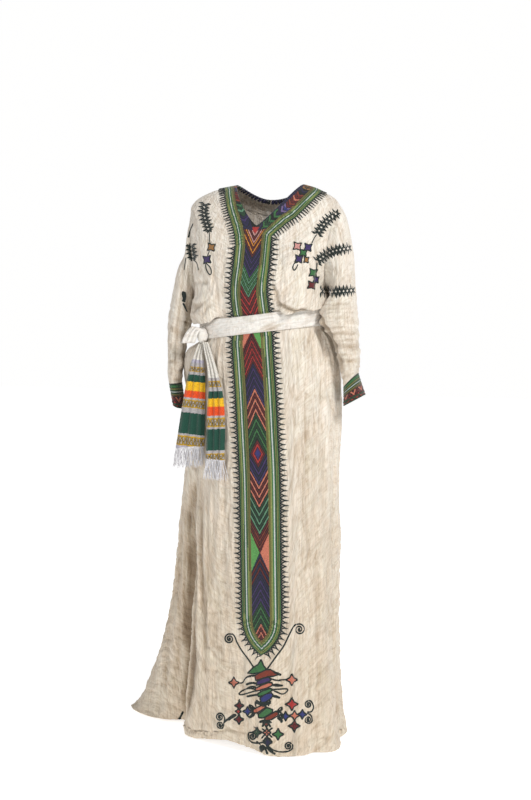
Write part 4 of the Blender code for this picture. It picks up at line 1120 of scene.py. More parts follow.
sash_t, sash_is_back = sash_rings(240, 180)
ends = []
for row in (SASH_TOP_ROW, SASH_FOOT_ROW):
    rows = np.full_like(sash_t, row)
    ends.append(np.where(sash_is_back[:, None], body_cloth(sash_t, rows, True), body_cloth(sash_t, rows, False)))
along = np.roll(ends[0], -1, 0) - np.roll(ends[0], 1, 0)
along_low = np.roll(ends[1], -1, 0) - np.roll(ends[1], 1, 0)
sash_normal = [unit(np.cross(a, ends[0] - ends[1])) for a in (along, along_low)]
sash_length = np.linalg.norm(np.roll(ends[0], -1, 0) - ends[0], axis=1)
sash_at = np.concatenate(((0,), sash_length.cumsum()[:-1]))
over_panel = np.where(sash_is_back, 0, 1 - smooth(np.abs(sash_t), PANEL_SHARE + 0.02, PANEL_SHARE + 0.10))
lift = LAY_GAP + (BAND_WALL + LAY_GAP) * over_panel


def sash_surface(share, height):
    points = ends[0] * (1 - share) + ends[1] * share
    normal = unit(sash_normal[0] * (1 - share) + sash_normal[1] * share)
    return points + normal * height[:, None], normal


SASH_ROWS = 22
rows, normals, sash_painted_shade = [], [], []
for share in np.linspace(0.0, 1.0, SASH_ROWS):
    fold = np.interp(share, SASH_SHARES, SASH_FOLDS)
    slant = sash_at - 0.10 * share
    crease = 0.0016 * ridges(slant * 0.25 + share * 0.044, slant, 0.011, 0.16, 41)
    crease += 0.0009 * ridges(share * 0.044 + 0.2 * slant, slant, 0.006, 0.10, 43)
    edge = smooth(share, 0.0, 0.10) * (1 - smooth(share, 0.90, 1.0))
    rounding = 0.0007 * (1 - edge)
    height = lift + SASH_WALL + fold + crease * edge - rounding
    points, normal = sash_surface(share, height)
    rows.append(points)
    normals.append(normal)
    # Painted shade: darker in the creases' valleys and along both rounded edges of the sash.
    sash_painted_shade.append(np.clip(-crease / 0.0022, 0, 1) * edge * 0.75 + 0.25 * (1 - edge))
for share in (0.995, 0.5, 0.005):
    points, normal = sash_surface(share, lift + 0.0002)
    rows.append(points)
    normals.append(-normal)
rows.append(rows[0])
normals.append(normals[0])
sash_points, sash_normals = np.array(rows), np.array(normals)
circumference = float(sash_length.sum())
uv = np.stack((np.broadcast_to(sash_at, sash_points.shape[:2]),
               np.broadcast_to(np.linspace(0, 0.1, len(rows))[:, None], sash_points.shape[:2])), -1)
sash_waist = cloth_piece("sash_waist_cloth", [(sash_points, sash_normals, uv, circumference)])
shade_folds(sash_waist, np.array(sash_painted_shade))
shape = bmesh.new()
shape.from_mesh(sash_waist.data)
bmesh.ops.remove_doubles(shape, verts=shape.verts, dist=1e-6)
bmesh.ops.recalc_face_normals(shape, faces=shape.faces)
shape.to_mesh(sash_waist.data)
shape.free()
print("sash round the waist:", round(circumference, 3), "m")

# %% Knot
KNOT_CENTRE = np.array((-0.1342, -0.0804, -0.3637))
KNOT_RADII = np.array((0.0150, 0.0125, 0.0200))


def build_knot():
    """A soft knot: the sash wound over itself, with its turns pulled into slanting creases."""
    rows, columns = 48, 72
    polar, turn = np.meshgrid(np.linspace(0.02, np.pi - 0.02, rows),
        np.arange(columns) * 2 * np.pi / columns, indexing="ij")
    pinch = 1 - 0.12 * np.cos(2 * turn)
    wrap = np.sin(3.0 * polar + 1.6 * np.cos(turn) + 0.6)
    crease = 1 + 0.07 * wrap * np.sin(polar) + 0.035 * ridges(turn * 0.01, polar * 0.02 + turn * 0.004,
        0.006, 0.004, 51)
    direction = np.stack((np.sin(polar) * np.cos(turn) * pinch, np.sin(polar) * np.sin(turn) * pinch,
        np.cos(polar)), -1)
    points = KNOT_CENTRE + KNOT_RADII * direction * np.clip(crease, 0.8, 1.12)[..., None]
    uv = np.stack((turn * 0.014, -polar * 0.02), -1)
    return cloth_piece("sash_knot_cloth", [(points, direction, uv, 2 * np.pi * 0.014)])


sash_knot = build_knot()


def close_holes(obj):
    shape = bmesh.new()
    shape.from_mesh(obj.data)
    bmesh.ops.holes_fill(shape, edges=[e for e in shape.edges if e.is_boundary], sides=200)
    bmesh.ops.recalc_face_normals(shape, faces=shape.faces)
    shape.to_mesh(obj.data)
    shape.free()


close_holes(sash_knot)

# %% [markdown]
# ## The ends of the sash
# Both ends hang from the knot. Each is a narrow strip that widens downwards, woven with stripes of
# green, yellow and red and with lines of metal thread, and its warp is twisted into a fringe.

# %% Ribbons
TAIL_FRONT = np.array((
    (-0.1345, -0.0795, -0.3840, 0.010, 0.004, 0.00), (-0.1385, -0.0960, -0.410, 0.012, 0.004, 0.02),
    (-0.1395, -0.1040, -0.432, 0.017, 0.003, 0.04), (-0.1420, -0.1080, -0.470, 0.023, 0.003, 0.06),
    (-0.1460, -0.1110, -0.515, 0.028, 0.003, 0.08), (-0.1500, -0.1140, -0.565, 0.032, 0.003, 0.08),
    (-0.1535, -0.1170, -0.610, 0.035, 0.003, 0.08), (-0.1560, -0.1190, -0.640, 0.037, 0.003, 0.08),
))
TAIL_BACK = np.array((
    (-0.1240, -0.0882, -0.3815, 0.007, 0.002, 0.00), (-0.1140, -0.1030, -0.402, 0.009, 0.003, 0.00),
    (-0.1020, -0.1150, -0.432, 0.011, 0.003, -0.02), (-0.0930, -0.1235, -0.464, 0.014, 0.003, -0.04),
    (-0.0865, -0.1290, -0.500, 0.018, 0.003, -0.06), (-0.0840, -0.1340, -0.545, 0.022, 0.003, -0.06),
    (-0.0830, -0.1375, -0.590, 0.0235, 0.003, -0.06), (-0.0835, -0.1400, -0.635, 0.0235, 0.003, -0.06),
    (-0.0845, -0.1415, -0.666, 0.0235, 0.003, -0.06),
))
LOOP = np.array((
    (-0.1440, -0.0939, -0.344, 0.012, 0.001, -0.20), (-0.1540, -0.0970, -0.357, 0.015, 0.002, -0.12),
    (-0.1610, -0.0975, -0.371, 0.017, 0.002, -0.04), (-0.1660, -0.0970, -0.384, 0.018, 0.002, 0.00),
))
TAIL_FOLDS = 1.5
TAIL_DEPTH = 3.53


def ribbon(table, across, level, extra=0.0):
    x, y, z, half_width, fold, lean = np.moveaxis(track(table, level), -1, 0)
    wave = fold * np.cos(across * TAIL_FOLDS * 2 * np.pi) + extra
    return np.stack((x + half_width * across, y - wave, z + lean * half_width * across), -1)


# Picture heights where each stripe of a tail starts, and its thread
FRONT_STRIPES = (
    (330, "cotton"), (360, "lilac"), (363, "silver"), (367, "gold"), (372, "silver"), (375, "sash_green"),
    (382, "yellow"), (391, "vermilion"), (398, "silver"), (400, "gold"), (408, "silver"), (413, "sash_green"),
    (434, "silver"), (436, "gold"), (446, "lilac"),
)
BACK_STRIPES = (
    (340, "cotton"), (377, "silver"), (380, "gold"), (386, "silver"), (390, "sash_green"), (397, "yellow"),
    (405, "vermilion"), (414, "silver"), (416, "gold"), (425, "silver"), (427, "sash_green"),
    (448, "silver"), (451, "gold"), (458, "lilac"),
)
ZIGZAG_PITCH = 0.0085


def tail_threads(points, across, stripes, slope):
    """Stripes by height, with a zigzag of metal thread in the gold ones."""
    height = -points[:, 2] + slope * across
    starts = drop_at([s for s, _ in stripes], TAIL_DEPTH)
    names = [n for _, n in stripes]
    at = np.clip(np.searchsorted(starts, height, "right") - 1, 0, len(starts) - 1)
    colour = np.array([THREADS[n] for n in names])[at]
    ends = np.append(starts[1:], starts[-1] + 0.03)
    share = (height - starts[at]) / (ends[at] - starts[at])
    is_gold = np.array([n == "gold" for n in names])[at]
    wave = np.abs((across / ZIGZAG_PITCH) % 1 - 0.5) * 2
    off = np.abs(share - wave)
    colour = np.where((is_gold & (off < 0.22))[:, None], np.array(THREADS["gold"]), colour)
    colour = np.where((is_gold & (off >= 0.22) & (off < 0.40))[:, None], np.array(THREADS["black"]), colour)
    colour = np.where((is_gold & (off >= 0.40) & (share > 0.2) & (share < 0.8))[:, None],
        np.array(THREADS["silver"]), colour)
    colour = np.where((is_gold & ((share < 0.12) | (share > 0.9)))[:, None],
        np.array(THREADS["yellow"]) * 0.7, colour)
    return colour


def build_ribbon(name, table, columns, rows, wall, seed, stripes=None):
    across, level = np.meshgrid(np.linspace(-1, 1, columns), np.linspace(0, len(table) - 1, rows))
    half = track(table, level)[..., 3]
    sag = 0.0009 * lumps(across * 0.03, level * 0.03, 0.012, 0.03, seed)
    sag += 0.0005 * ridges(across * half, level * 0.03, 0.006, 0.09, seed + 1) * (0.3 if stripes else 1.0)
    form = lambda a, b: ribbon(table, a, b)  # noqa: E731
    normal = normals_of(form, across, np.clip(level, 0.002, len(table) - 1.002))
    normal = normal * np.sign(-normal[..., 1:2].mean())
    middle = ribbon(table, across, level, sag)
    uv = np.stack((across * half, -level * 0.03), -1)
    outer, inner = middle + normal * wall / 2, middle - normal * wall / 2
    ring = np.concatenate((outer, inner[:, ::-1]), 1)
    ring_normal = np.concatenate((normal, -normal[:, ::-1]), 1)
    ring_uv = np.concatenate((uv, uv[:, ::-1]), 1)
    obj = cloth_piece(name, [(ring, ring_normal, ring_uv, 1e-9)])
    close_holes(obj)
    if stripes is not None:
        centres = face_centres(obj)
        level_of = np.interp(-centres[:, 2], -table[:, 2], np.arange(len(table)))
        offset = centres[:, 0] - track(table, level_of)[:, 0]
        paint(obj, tail_threads(centres, offset, stripes, -table[-1, 5]))
    return obj


sash_loop = build_ribbon("sash_loop_cloth", LOOP, 40, 40, 0.0016, 61)
tail_front = build_ribbon("sash_tail_front_cloth", TAIL_FRONT, 76, 230, 0.0016, 71, FRONT_STRIPES)
tail_back = build_ribbon("sash_tail_back_cloth", TAIL_BACK, 52, 250, 0.0016, 81, BACK_STRIPES)

# %% [markdown]
# ## Stitches laid by Geometry Nodes
# Teeth, herringbone and fringe all repeat one small shape along a line. One tree does the teeth
# and the fringe: it takes points that know which way is out of the cloth and which way the line runs,
# puts the stitch on each, makes the copies real, and sets their material.

# %% Stitch tree


def stitch_tree():
    tree = bpy.data.node_groups.new("laid_stitches", "GeometryNodeTree")
    face = tree.interface
    face.new_socket("Geometry", in_out="INPUT", socket_type="NodeSocketGeometry")
    for name, kind, value in (
        ("Stitch", "NodeSocketObject", None), ("Thread", "NodeSocketMaterial", None),
        ("Least size", "NodeSocketFloat", 0.9), ("Greatest size", "NodeSocketFloat", 1.1),
        ("Sway", "NodeSocketFloat", 0.1), ("Seed", "NodeSocketInt", 1),
    ):
        socket = face.new_socket(name, in_out="INPUT", socket_type=kind)
        if value is not None:
            socket.default_value = value
    face.new_socket("Geometry", in_out="OUTPUT", socket_type="NodeSocketGeometry")
    nodes, links = tree.nodes, tree.links
    source, target = nodes.new("NodeGroupInput"), nodes.new("NodeGroupOutput")
    stitch = nodes.new("GeometryNodeObjectInfo")
    links.new(source.outputs["Stitch"], stitch.inputs["Object"])
    lie, run = nodes.new("GeometryNodeInputNamedAttribute"), nodes.new("GeometryNodeInputNamedAttribute")
    for node, name in ((lie, "lie"), (run, "run")):
        node.data_type = "FLOAT_VECTOR"
        node.inputs["Name"].default_value = name
    upright, turned = nodes.new("FunctionNodeAlignRotationToVector"), nodes.new("FunctionNodeAlignRotationToVector")
    upright.axis, turned.axis, turned.pivot_axis = "Z", "X", "Z"
    links.new(lie.outputs["Attribute"], upright.inputs["Vector"])
    links.new(upright.outputs["Rotation"], turned.inputs["Rotation"])
    links.new(run.outputs["Attribute"], turned.inputs["Vector"])
    sway, turn = nodes.new("FunctionNodeRandomValue"), nodes.new("FunctionNodeRotateRotation")
    sway.data_type = "FLOAT"
    turn.rotation_space = "LOCAL"
    both = nodes.new("ShaderNodeCombineXYZ")
    low = nodes.new("ShaderNodeMath")
    low.operation = "MULTIPLY"
    low.inputs[1].default_value = -1
    links.new(source.outputs["Sway"], low.inputs[0])
    links.new(low.outputs[0], sway.inputs[2])
    links.new(source.outputs["Sway"], sway.inputs[3])
    links.new(source.outputs["Seed"], sway.inputs["Seed"])
    links.new(sway.outputs[1], both.inputs["Z"])
    links.new(turned.outputs["Rotation"], turn.inputs["Rotation"])
    links.new(both.outputs["Vector"], turn.inputs["Rotate By"])
    size = nodes.new("FunctionNodeRandomValue")
    size.data_type = "FLOAT"
    links.new(source.outputs["Least size"], size.inputs[2])
    links.new(source.outputs["Greatest size"], size.inputs[3])
    links.new(source.outputs["Seed"], size.inputs["Seed"])
    scale = nodes.new("GeometryNodeInputNamedAttribute")
    scale.data_type = "FLOAT"
    scale.inputs["Name"].default_value = "size"
    product = nodes.new("ShaderNodeMath")
    product.operation = "MULTIPLY"
    links.new(size.outputs[1], product.inputs[0])
    links.new(scale.outputs["Attribute"], product.inputs[1])
    place, real, finish = (nodes.new(n) for n in (
        "GeometryNodeInstanceOnPoints", "GeometryNodeRealizeInstances", "GeometryNodeSetMaterial"
    ))
    links.new(source.outputs["Geometry"], place.inputs["Points"])
    links.new(stitch.outputs["Geometry"], place.inputs["Instance"])
    links.new(turn.outputs["Rotation"], place.inputs["Rotation"])
    links.new(product.outputs[0], place.inputs["Scale"])
    links.new(place.outputs["Instances"], real.inputs["Geometry"])
    links.new(real.outputs["Geometry"], finish.inputs["Geometry"])
    links.new(source.outputs["Thread"], finish.inputs["Material"])
    links.new(finish.outputs["Geometry"], target.inputs["Geometry"])
    return tree


laid_stitches = stitch_tree()


def lay(name, places, lie, run, sizes, stitch, thread, least=0.92, greatest=1.08, sway=0.08, seed=1):
    """Puts a stitch on every place and returns the result as one plain mesh."""
    mesh = bpy.data.meshes.new(name)
    mesh.from_pydata(np.asarray(places).tolist(), [], [])
    for label, kind, values in (("lie", "FLOAT_VECTOR", lie), ("run", "FLOAT_VECTOR", run)):
        mesh.attributes.new(label, kind, "POINT").data.foreach_set("vector", np.asarray(values, float).reshape(-1))
    mesh.attributes.new("size", "FLOAT", "POINT").data.foreach_set("value", np.asarray(sizes, float))
    points = bpy.data.objects.new(name + "_places", mesh)
    bpy.context.scene.collection.objects.link(points)
    modifier = points.modifiers.new("stitches", "NODES")
    modifier.node_group = laid_stitches
    values = {
        "Stitch": stitch, "Thread": thread, "Least size": least, "Greatest size": greatest,
        "Sway": sway, "Seed": seed,
    }
    for item in laid_stitches.interface.items_tree:
        if item.in_out == "INPUT" and item.name in values:
            modifier[item.identifier] = values[item.name]
    bpy.context.view_layer.update()
    done = bpy.data.meshes.new_from_object(points.evaluated_get(bpy.context.evaluated_depsgraph_get()))
    done.name = name
    points.modifiers.remove(modifier)
    bpy.data.objects.remove(points)
    obj = bpy.data.objects.new(name, done)
    bpy.context.scene.collection.objects.link(obj)
    print(name, len(places), "stitches,", len(done.polygons), "faces")
    return obj


def closed_shape(name, points, faces):
    """An object from points and faces, all turned outwards and shaded smooth."""
    mesh = bpy.data.meshes.new(name)
    mesh.from_pydata([tuple(p) for p in points], [], faces)
    shape = bmesh.new()
    shape.from_mesh(mesh)
    bmesh.ops.recalc_face_normals(shape, faces=shape.faces)
    shape.to_mesh(mesh)
    shape.free()
    mesh.shade_smooth()
    return bpy.data.objects.new(name, mesh)


def thread_bars(name, bars, height):
    """A stitch made of raised threads, each a flat-bottomed bar with its own width at both ends."""
    points, faces = [], []
    for x0, y0, x1, y1, wide, narrow in bars:
        start, end = np.array((x0, y0, 0.0)), np.array((x1, y1, 0.0))
        run = unit(end - start)
        side, up = np.array((-run[1], run[0], 0.0)) / 2, np.array((0.0, 0.0, height))
        base = len(points)
        for share, full in ((0.0, 0.4), (0.12, 1.0), (0.85, 1.0), (1.0, 0.4)):
            middle = start + (end - start) * share
            half = side * full * (wide + (narrow - wide) * share)
            points += [middle - half, middle - half * 0.45 + up * full, middle + half * 0.45 + up * full,
                middle + half]
        for k in range(3):
            for j in range(3):
                a = base + 4 * k + j
                faces.append((a, a + 4, a + 5, a + 1))
            a = base + 4 * k
            faces.append((a + 3, a + 7, a + 4, a))
        faces += [(base, base + 1, base + 2, base + 3), (base + 15, base + 14, base + 13, base + 12)]
    return closed_shape(name, points, faces)


print("stitch tree nodes:", len(laid_stitches.nodes))

# %% Materials


def material_for(name, colour, roughness, sheen=0.3):
    material = bpy.data.materials.new(name)
    material.use_nodes = True
    shader = material.node_tree.nodes["Principled BSDF"]
    shader.inputs["Base Color"].default_value = (*colour, 1)
    shader.inputs["Roughness"].default_value = roughness
    shader.inputs["Sheen Weight"].default_value = sheen
    shader.inputs["Sheen Roughness"].default_value = 0.5
    shader.inputs["Specular IOR Level"].default_value = 0.25
    return material, shader


def node(material, kind, inputs=(), **settings):
    """A new shader node with its settings and input values, or links from sockets."""
    made = material.node_tree.nodes.new(kind)
    for key, value in settings.items():
        setattr(made, key, value)
    for key, value in dict(inputs).items():
        if isinstance(value, bpy.types.NodeSocket):
            material.node_tree.links.new(value, made.inputs[key])
        else:
            made.inputs[key].default_value = value
    return made


def math(material, operation, a, b=0.0, c=0.0):
    return node(material, "ShaderNodeMath", {0: a, 1: b, 2: c}, operation=operation).outputs[0]


def stretched(material, vector, scale):
    return node(material, "ShaderNodeMapping", {"Vector": vector, "Scale": scale}).outputs[0]


def ramp(material, factor, stops):
    made = node(material, "ShaderNodeValToRGB", {0: factor})
    bar = made.color_ramp
    while len(bar.elements) < len(stops):
        bar.elements.new(1.0)
    for element, (place, colour) in zip(bar.elements, stops):
        element.position, element.color = place, (*colour, 1)
    return made.outputs[0]


def mixed(material, blend, factor, a, b):
    made = node(material, "ShaderNodeMix", {0: factor}, data_type="RGBA", blend_type=blend)
    for key, value in ((6, a), (7, b)):
        if isinstance(value, bpy.types.NodeSocket):
            material.node_tree.links.new(value, made.inputs[key])
        else:
            made.inputs[key].default_value = (*value, 1)
    return made.outputs[2]


def link(material, source, shader, key):
    material.node_tree.links.new(source, shader.inputs[key])


def gauze_material(name, light, deep, low_shade_tint, vein_share=0.9):
    """Open hand-woven gauze: uneven threads both ways, fine crinkle lines darkened as painted shade, painted shade
    that deepens towards the hem with random cloudy tone, and painted shade in the folds.
    """
    material, shader = material_for(name, light, 0.92, 0.35)
    uv = node(material, "ShaderNodeUVMap", uv_map="cloth").outputs[0]
    place = node(material, "ShaderNodeTexCoord").outputs["Object"]
    noise = "ShaderNodeTexNoise"
    warp = node(material, noise, {"Vector": stretched(material, uv, (900, 45, 1)), "Scale": 1.0, "Detail": 2.0})
    weft = node(material, noise, {"Vector": stretched(material, uv, (45, 900, 1)), "Scale": 1.0, "Detail": 2.0})
    lines = node(material, noise, {"Vector": stretched(material, uv, (210, 22, 1)), "Scale": 1.0, "Detail": 4.0,
                                   "Roughness": 0.62, "Distortion": 0.5})
    cross = node(material, noise, {"Vector": stretched(material, uv, (26, 150, 1)), "Scale": 1.0, "Detail": 3.0,
                                   "Distortion": 0.6})
    cloud = node(material, noise, {"Vector": place, "Scale": 7.0, "Detail": 3.0})
    height = math(material, "MULTIPLY_ADD", warp.outputs[0], 0.35, lines.outputs[0])
    height = math(material, "MULTIPLY_ADD", weft.outputs[0], 0.35, height)
    height = math(material, "MULTIPLY_ADD", cross.outputs[0], 0.7, height)
    # Pinched creases are where a slow noise crosses its middle value. They raise the bump, and below they darken the
    # colour as painted shade.
    veins = []
    for scale, seed_shift in (((120, 13, 1), 0.0), ((20, 95, 1), 3.7)):
        shifted = node(material, "ShaderNodeMapping", {"Vector": uv, "Location": (seed_shift, 0, 0), "Scale": scale})
        slow = node(material, noise, {"Vector": shifted.outputs[0], "Scale": 1.0, "Detail": 2.5, "Distortion": 0.9})
        away = math(material, "ABSOLUTE", math(material, "SUBTRACT", slow.outputs[0], 0.5))
        veins.append(away)
        height = math(material, "MULTIPLY_ADD", math(material, "MINIMUM", away, 0.06), 9.0, height)
    # Painted shade: the colour darkens along the crinkle lines and the crosswise creases.
    shade = ramp(material, lines.outputs[0], ((0.22, deep), (0.60, light), (1.0, light)))
    over = ramp(material, cross.outputs[0], ((0.22, (0.90, 0.86, 0.80)), (0.62, (1, 1, 1)), (1.0, (1, 1, 1))))
    shade = mixed(material, "MULTIPLY", 0.8, shade, over)
    weave = ramp(material, warp.outputs[0], ((0.2, (0.93, 0.92, 0.90)), (0.6, (1, 1, 1)), (1.0, (1, 1, 1))))
    shade = mixed(material, "MULTIPLY", 0.6, shade, weave)
    # Painted shade: the colour grows darker and warmer towards the hem, where less light falls, with random cloudy
    # tone mixed in.
    low = node(material, "ShaderNodeSeparateXYZ", {0: place}).outputs["Z"]
    low_shade_and_cloud = math(material, "MULTIPLY_ADD", low, -0.55, math(material, "MULTIPLY", cloud.outputs[0], 0.5))
    painted_low_shade = ramp(material, low_shade_and_cloud, ((0.20, (1, 1, 1)), (0.95, low_shade_tint)))
    # Painted shade along the pinched creases.
    for away, pinch in zip(veins, ((0.80, 0.76, 0.71), (0.86, 0.82, 0.77))):
        painted_crease_shade = ramp(material, away, ((0.0, pinch), (0.045, (1, 1, 1)), (1.0, (1, 1, 1))))
        shade = mixed(material, "MULTIPLY", vein_share, shade, painted_crease_shade)
    shade = mixed(material, "MULTIPLY", 1.0, shade, painted_low_shade)
    blotch = node(material, noise, {"Vector": stretched(material, uv, (26, 14, 1)), "Scale": 1.0, "Detail": 5.0,
                                    "Roughness": 0.7, "Distortion": 0.8})
    stains = ramp(material, blotch.outputs[0], (
        (0.30, (0.86, 0.80, 0.74)), (0.45, (1.0, 0.955, 0.93)), (0.55, (1, 1, 1)), (0.72, (1.0, 0.985, 0.92))))
    shade = mixed(material, "MULTIPLY", 0.75, shade, stains)
    # Painted shade in the folds and crinkle valleys, read from the fold attribute.
    fold = node(material, "ShaderNodeAttribute", attribute_name="fold").outputs["Fac"]
    painted_fold_shade = ramp(material, fold, ((0.05, (1, 1, 1)), (0.5, (0.765, 0.715, 0.655)), (1.0, (0.42, 0.36, 0.295))))
    link(material, mixed(material, "MULTIPLY", 1.0, shade, painted_fold_shade), shader, "Base Color")
    bump = node(material, "ShaderNodeBump", {"Strength": 0.8, "Distance": 0.0016, "Height": height})
    link(material, bump.outputs[0], shader, "Normal")
    rough = node(material, "ShaderNodeMapRange", {0: cloud.outputs[0], 3: 0.86, 4: 0.97})
    link(material, rough.outputs[0], shader, "Roughness")
    return material


def thread_material(name, pitch, gloss=0.62, strength=0.6):
    """Dense embroidery: the colour attribute gives the thread, the UV map the lie of the stitches."""
    material, shader = material_for(name, THREADS["olive"], gloss, 0.25)
    thread = node(material, "ShaderNodeVertexColor", layer_name="thread").outputs[0]
    uv = node(material, "ShaderNodeUVMap", uv_map="cloth").outputs[0]
    place = node(material, "ShaderNodeTexCoord").outputs["Object"]
    stitches = node(material, "ShaderNodeTexWave", {
        "Vector": stretched(material, uv, (1 / pitch, 0.35 / pitch, 1)), "Scale": 0.32, "Distortion": 1.5,
        "Detail": 2.0, "Detail Scale": 1.5,
    }, bands_direction="DIAGONAL")
    wear = node(material, "ShaderNodeTexNoise", {"Vector": place, "Scale": 420.0, "Detail": 3.0})
    light = ramp(material, wear.outputs[0], ((0.25, (0.62, 0.62, 0.62)), (0.75, (1.25, 1.22, 1.15))))
    shade = ramp(material, stitches.outputs[1], ((0.0, (0.72, 0.72, 0.72)), (0.6, (1.05, 1.05, 1.05))))
    colour = mixed(material, "MULTIPLY", 1.0, mixed(material, "MULTIPLY", 1.0, thread, light), shade)
    link(material, colour, shader, "Base Color")
    height = math(material, "MULTIPLY_ADD", wear.outputs[0], 0.6, stitches.outputs[1])
    bump = node(material, "ShaderNodeBump", {"Strength": strength, "Distance": 0.0006, "Height": height})
    link(material, bump.outputs[0], shader, "Normal")
    rough = node(material, "ShaderNodeMapRange", {0: wear.outputs[0], 3: gloss - 0.12, 4: gloss + 0.2})
    link(material, rough.outputs[0], shader, "Roughness")
    return material


def yarn_material(name, colour, dark, scale, sheen=0.3):
    """Plain yarn with uneven dye and a fibrous bump."""
    material, shader = material_for(name, colour, 0.8, sheen)
    place = node(material, "ShaderNodeTexCoord").outputs["Object"]
    fibre = node(material, "ShaderNodeTexNoise", {"Vector": stretched(material, place, (scale, scale, scale * 0.5)),
                                                 "Scale": 1.0, "Detail": 4.0})
    tone = ramp(material, fibre.outputs[0], ((0.3, dark), (0.65, colour)))
    link(material, tone, shader, "Base Color")
    bump = node(material, "ShaderNodeBump", {"Strength": 0.5, "Distance": 0.0004, "Height": fibre.outputs[0]})
    link(material, bump.outputs[0], shader, "Normal")
    return material


# After the name: the gauze's colour, the painted shade of its crinkle lines, and the painted shade tint towards the
# hem.
gauze = gauze_material("crinkled_gauze", (0.90, 0.865, 0.80), (0.74, 0.675, 0.58), (0.87, 0.81, 0.725))
sash_white = gauze_material("sash_white_cotton", (0.90, 0.885, 0.855), (0.80, 0.775, 0.735), (1.0, 0.98, 0.95), 0.3)
tibeb = thread_material("tibeb_embroidery", 0.0008)
cuff_tibeb = thread_material("cuff_tibeb", 0.0010)
striped = thread_material("striped_tail_weave", 0.0007, 0.5)
black_thread = yarn_material("dark_green_thread", (0.020, 0.030, 0.026), (0.006, 0.009, 0.008), 600)
fringe_yarn = yarn_material("white_fringe_yarn", (0.80, 0.79, 0.80), (0.52, 0.50, 0.53), 500)
for obj, material in (
    (front_cloth, gauze), (back_cloth, gauze), (sleeve_left, gauze), (sleeve_right, gauze),
    (band_front, tibeb), (band_back, tibeb), (cuff_left, cuff_tibeb), (cuff_right, cuff_tibeb),
    (sash_waist, sash_white), (sash_knot, sash_white), (sash_loop, sash_white),
    (tail_front, striped), (tail_back, striped),
):
    obj.data.materials.append(material)
print("materials:", len(bpy.data.materials))

# %% Teeth along the band's edge


EDGE_LIFT, TOOTH_LIFT = 0.0003, 0.0007


def teeth_places(t, row, pitch):
    """Places for teeth along the band's edge, with the normals and the way along it."""
    gaps = np.linalg.norm(np.diff(laid_on(t, row, np.full(t.shape, EDGE_LIFT)), axis=0), axis=1)
    length = np.concatenate(((0,), gaps.cumsum()))
    at = np.arange(pitch / 2, length[-1] - pitch / 3, pitch)
    t_at, row_at = np.interp(at, length, t), np.interp(at, length, row)
    places = laid_on(t_at, row_at, np.full(at.shape, TOOTH_LIFT))
    ahead = laid_on(np.interp(at + 0.002, length, t), np.interp(at + 0.002, length, row),
        np.full(at.shape, EDGE_LIFT))
    return places, body_normal(body_cloth, t_at, row_at, False), unit(ahead - places)


FORK_BARS = (
    (-0.5, -0.05, 0.0, 0.84, 0.24, 0.26), (0.5, -0.05, 0.0, 0.84, 0.24, 0.26), (0.0, 0.62, 0.08, 1.62, 0.40, 0.08),
    (-0.5, 0.02, 0.5, 0.02, 0.12, 0.12), (0.0, 0.0, -0.26, 0.42, 0.15, 0.15), (0.0, 0.0, 0.26, 0.42, 0.15, 0.15),
)
fork = thread_bars("fork_stitch", FORK_BARS, 0.08)
spike = thread_bars("spike_stitch", ((0.0, -0.12, 0.0, 0.45, 0.30, 0.27), (0.0, 0.4, 0.06, 1.08, 0.27, 0.07)), 0.08)
tooth_objects = []
for side, sign in (("left", 1), ("right", -1)):
    t, row = outlines[sign]
    for label, part, pitch, stitch, size, sway in (
        ("neck", slice(0, 160), 0.0072, spike, 0.0140, 0.12), ("panel", slice(160, None), 0.0123, fork, 0.0123, 0.05),
    ):
        places, lie, run = teeth_places(t[part], row[part], pitch)
        out = np.cross(lie, run) * sign
        tooth_objects.append(lay(
            label + "_teeth_" + side, places, lie, np.cross(out, lie), np.full(len(places), size), stitch,
            black_thread, 0.92, 1.08, sway, 11))

# %% [markdown]
# ## Single motifs
# The sleeves carry bands of black herringbone, the chest has small square flowers, and a large
# cross with spirals stands on the hem. They are worked directly on the gauze in satin stitch with
# dark outlines. Each is drawn by where it shows in the picture. Rays from the camera carry it onto
# the cloth, so it follows every crinkle and lies a thread's height above.

# %% Rays onto the cloth


def tree_of(objects):
    points, faces = [], []
    for obj in objects:
        start = len(points)
        points += [v.co.copy() for v in obj.data.vertices]
        faces += [[i + start for i in p.vertices] for p in obj.data.polygons]
    return BVHTree.FromPolygons(points, faces)


cloth_tree = tree_of((front_cloth, back_cloth, sleeve_left, sleeve_right))


def on_cloth(places):
    """Points and normals of the cloth under places in the picture; a miss takes the last hit."""
    points, normals, last = [], [], None
    for x, y in places:
        hit, normal, _, _ = cloth_tree.ray_cast(EYE, ray_through(x, y))
        if hit is not None:
            last = (np.array(hit), np.array(normal if normal.dot(gaze) < 0 else -normal))
        if last is None:
            last = (np.array((0.0, 0.0, -0.5)), np.array((0.0, -1.0, 0.0)))
        points.append(last[0])
        normals.append(last[1])
    return np.array(points), np.array(normals)


def curve_through(points, step):
    """A smooth evenly spaced curve through points in the picture."""
    points = np.array(points, float)
    rows = track(points, np.linspace(0, len(points) - 1, 24 * len(points)))
    return even_path(rows, step)[0]


MM_A_PIXEL = 2.42
print("a pixel is about", MM_A_PIXEL, "mm on the dress")

# %% Stems and outlines


# A thread or patch stops where the cloth below jumps farther than this
LAYER_GAP = 0.006
THREAD_LIFT, THREAD_RISE = 0.0004, 0.0008


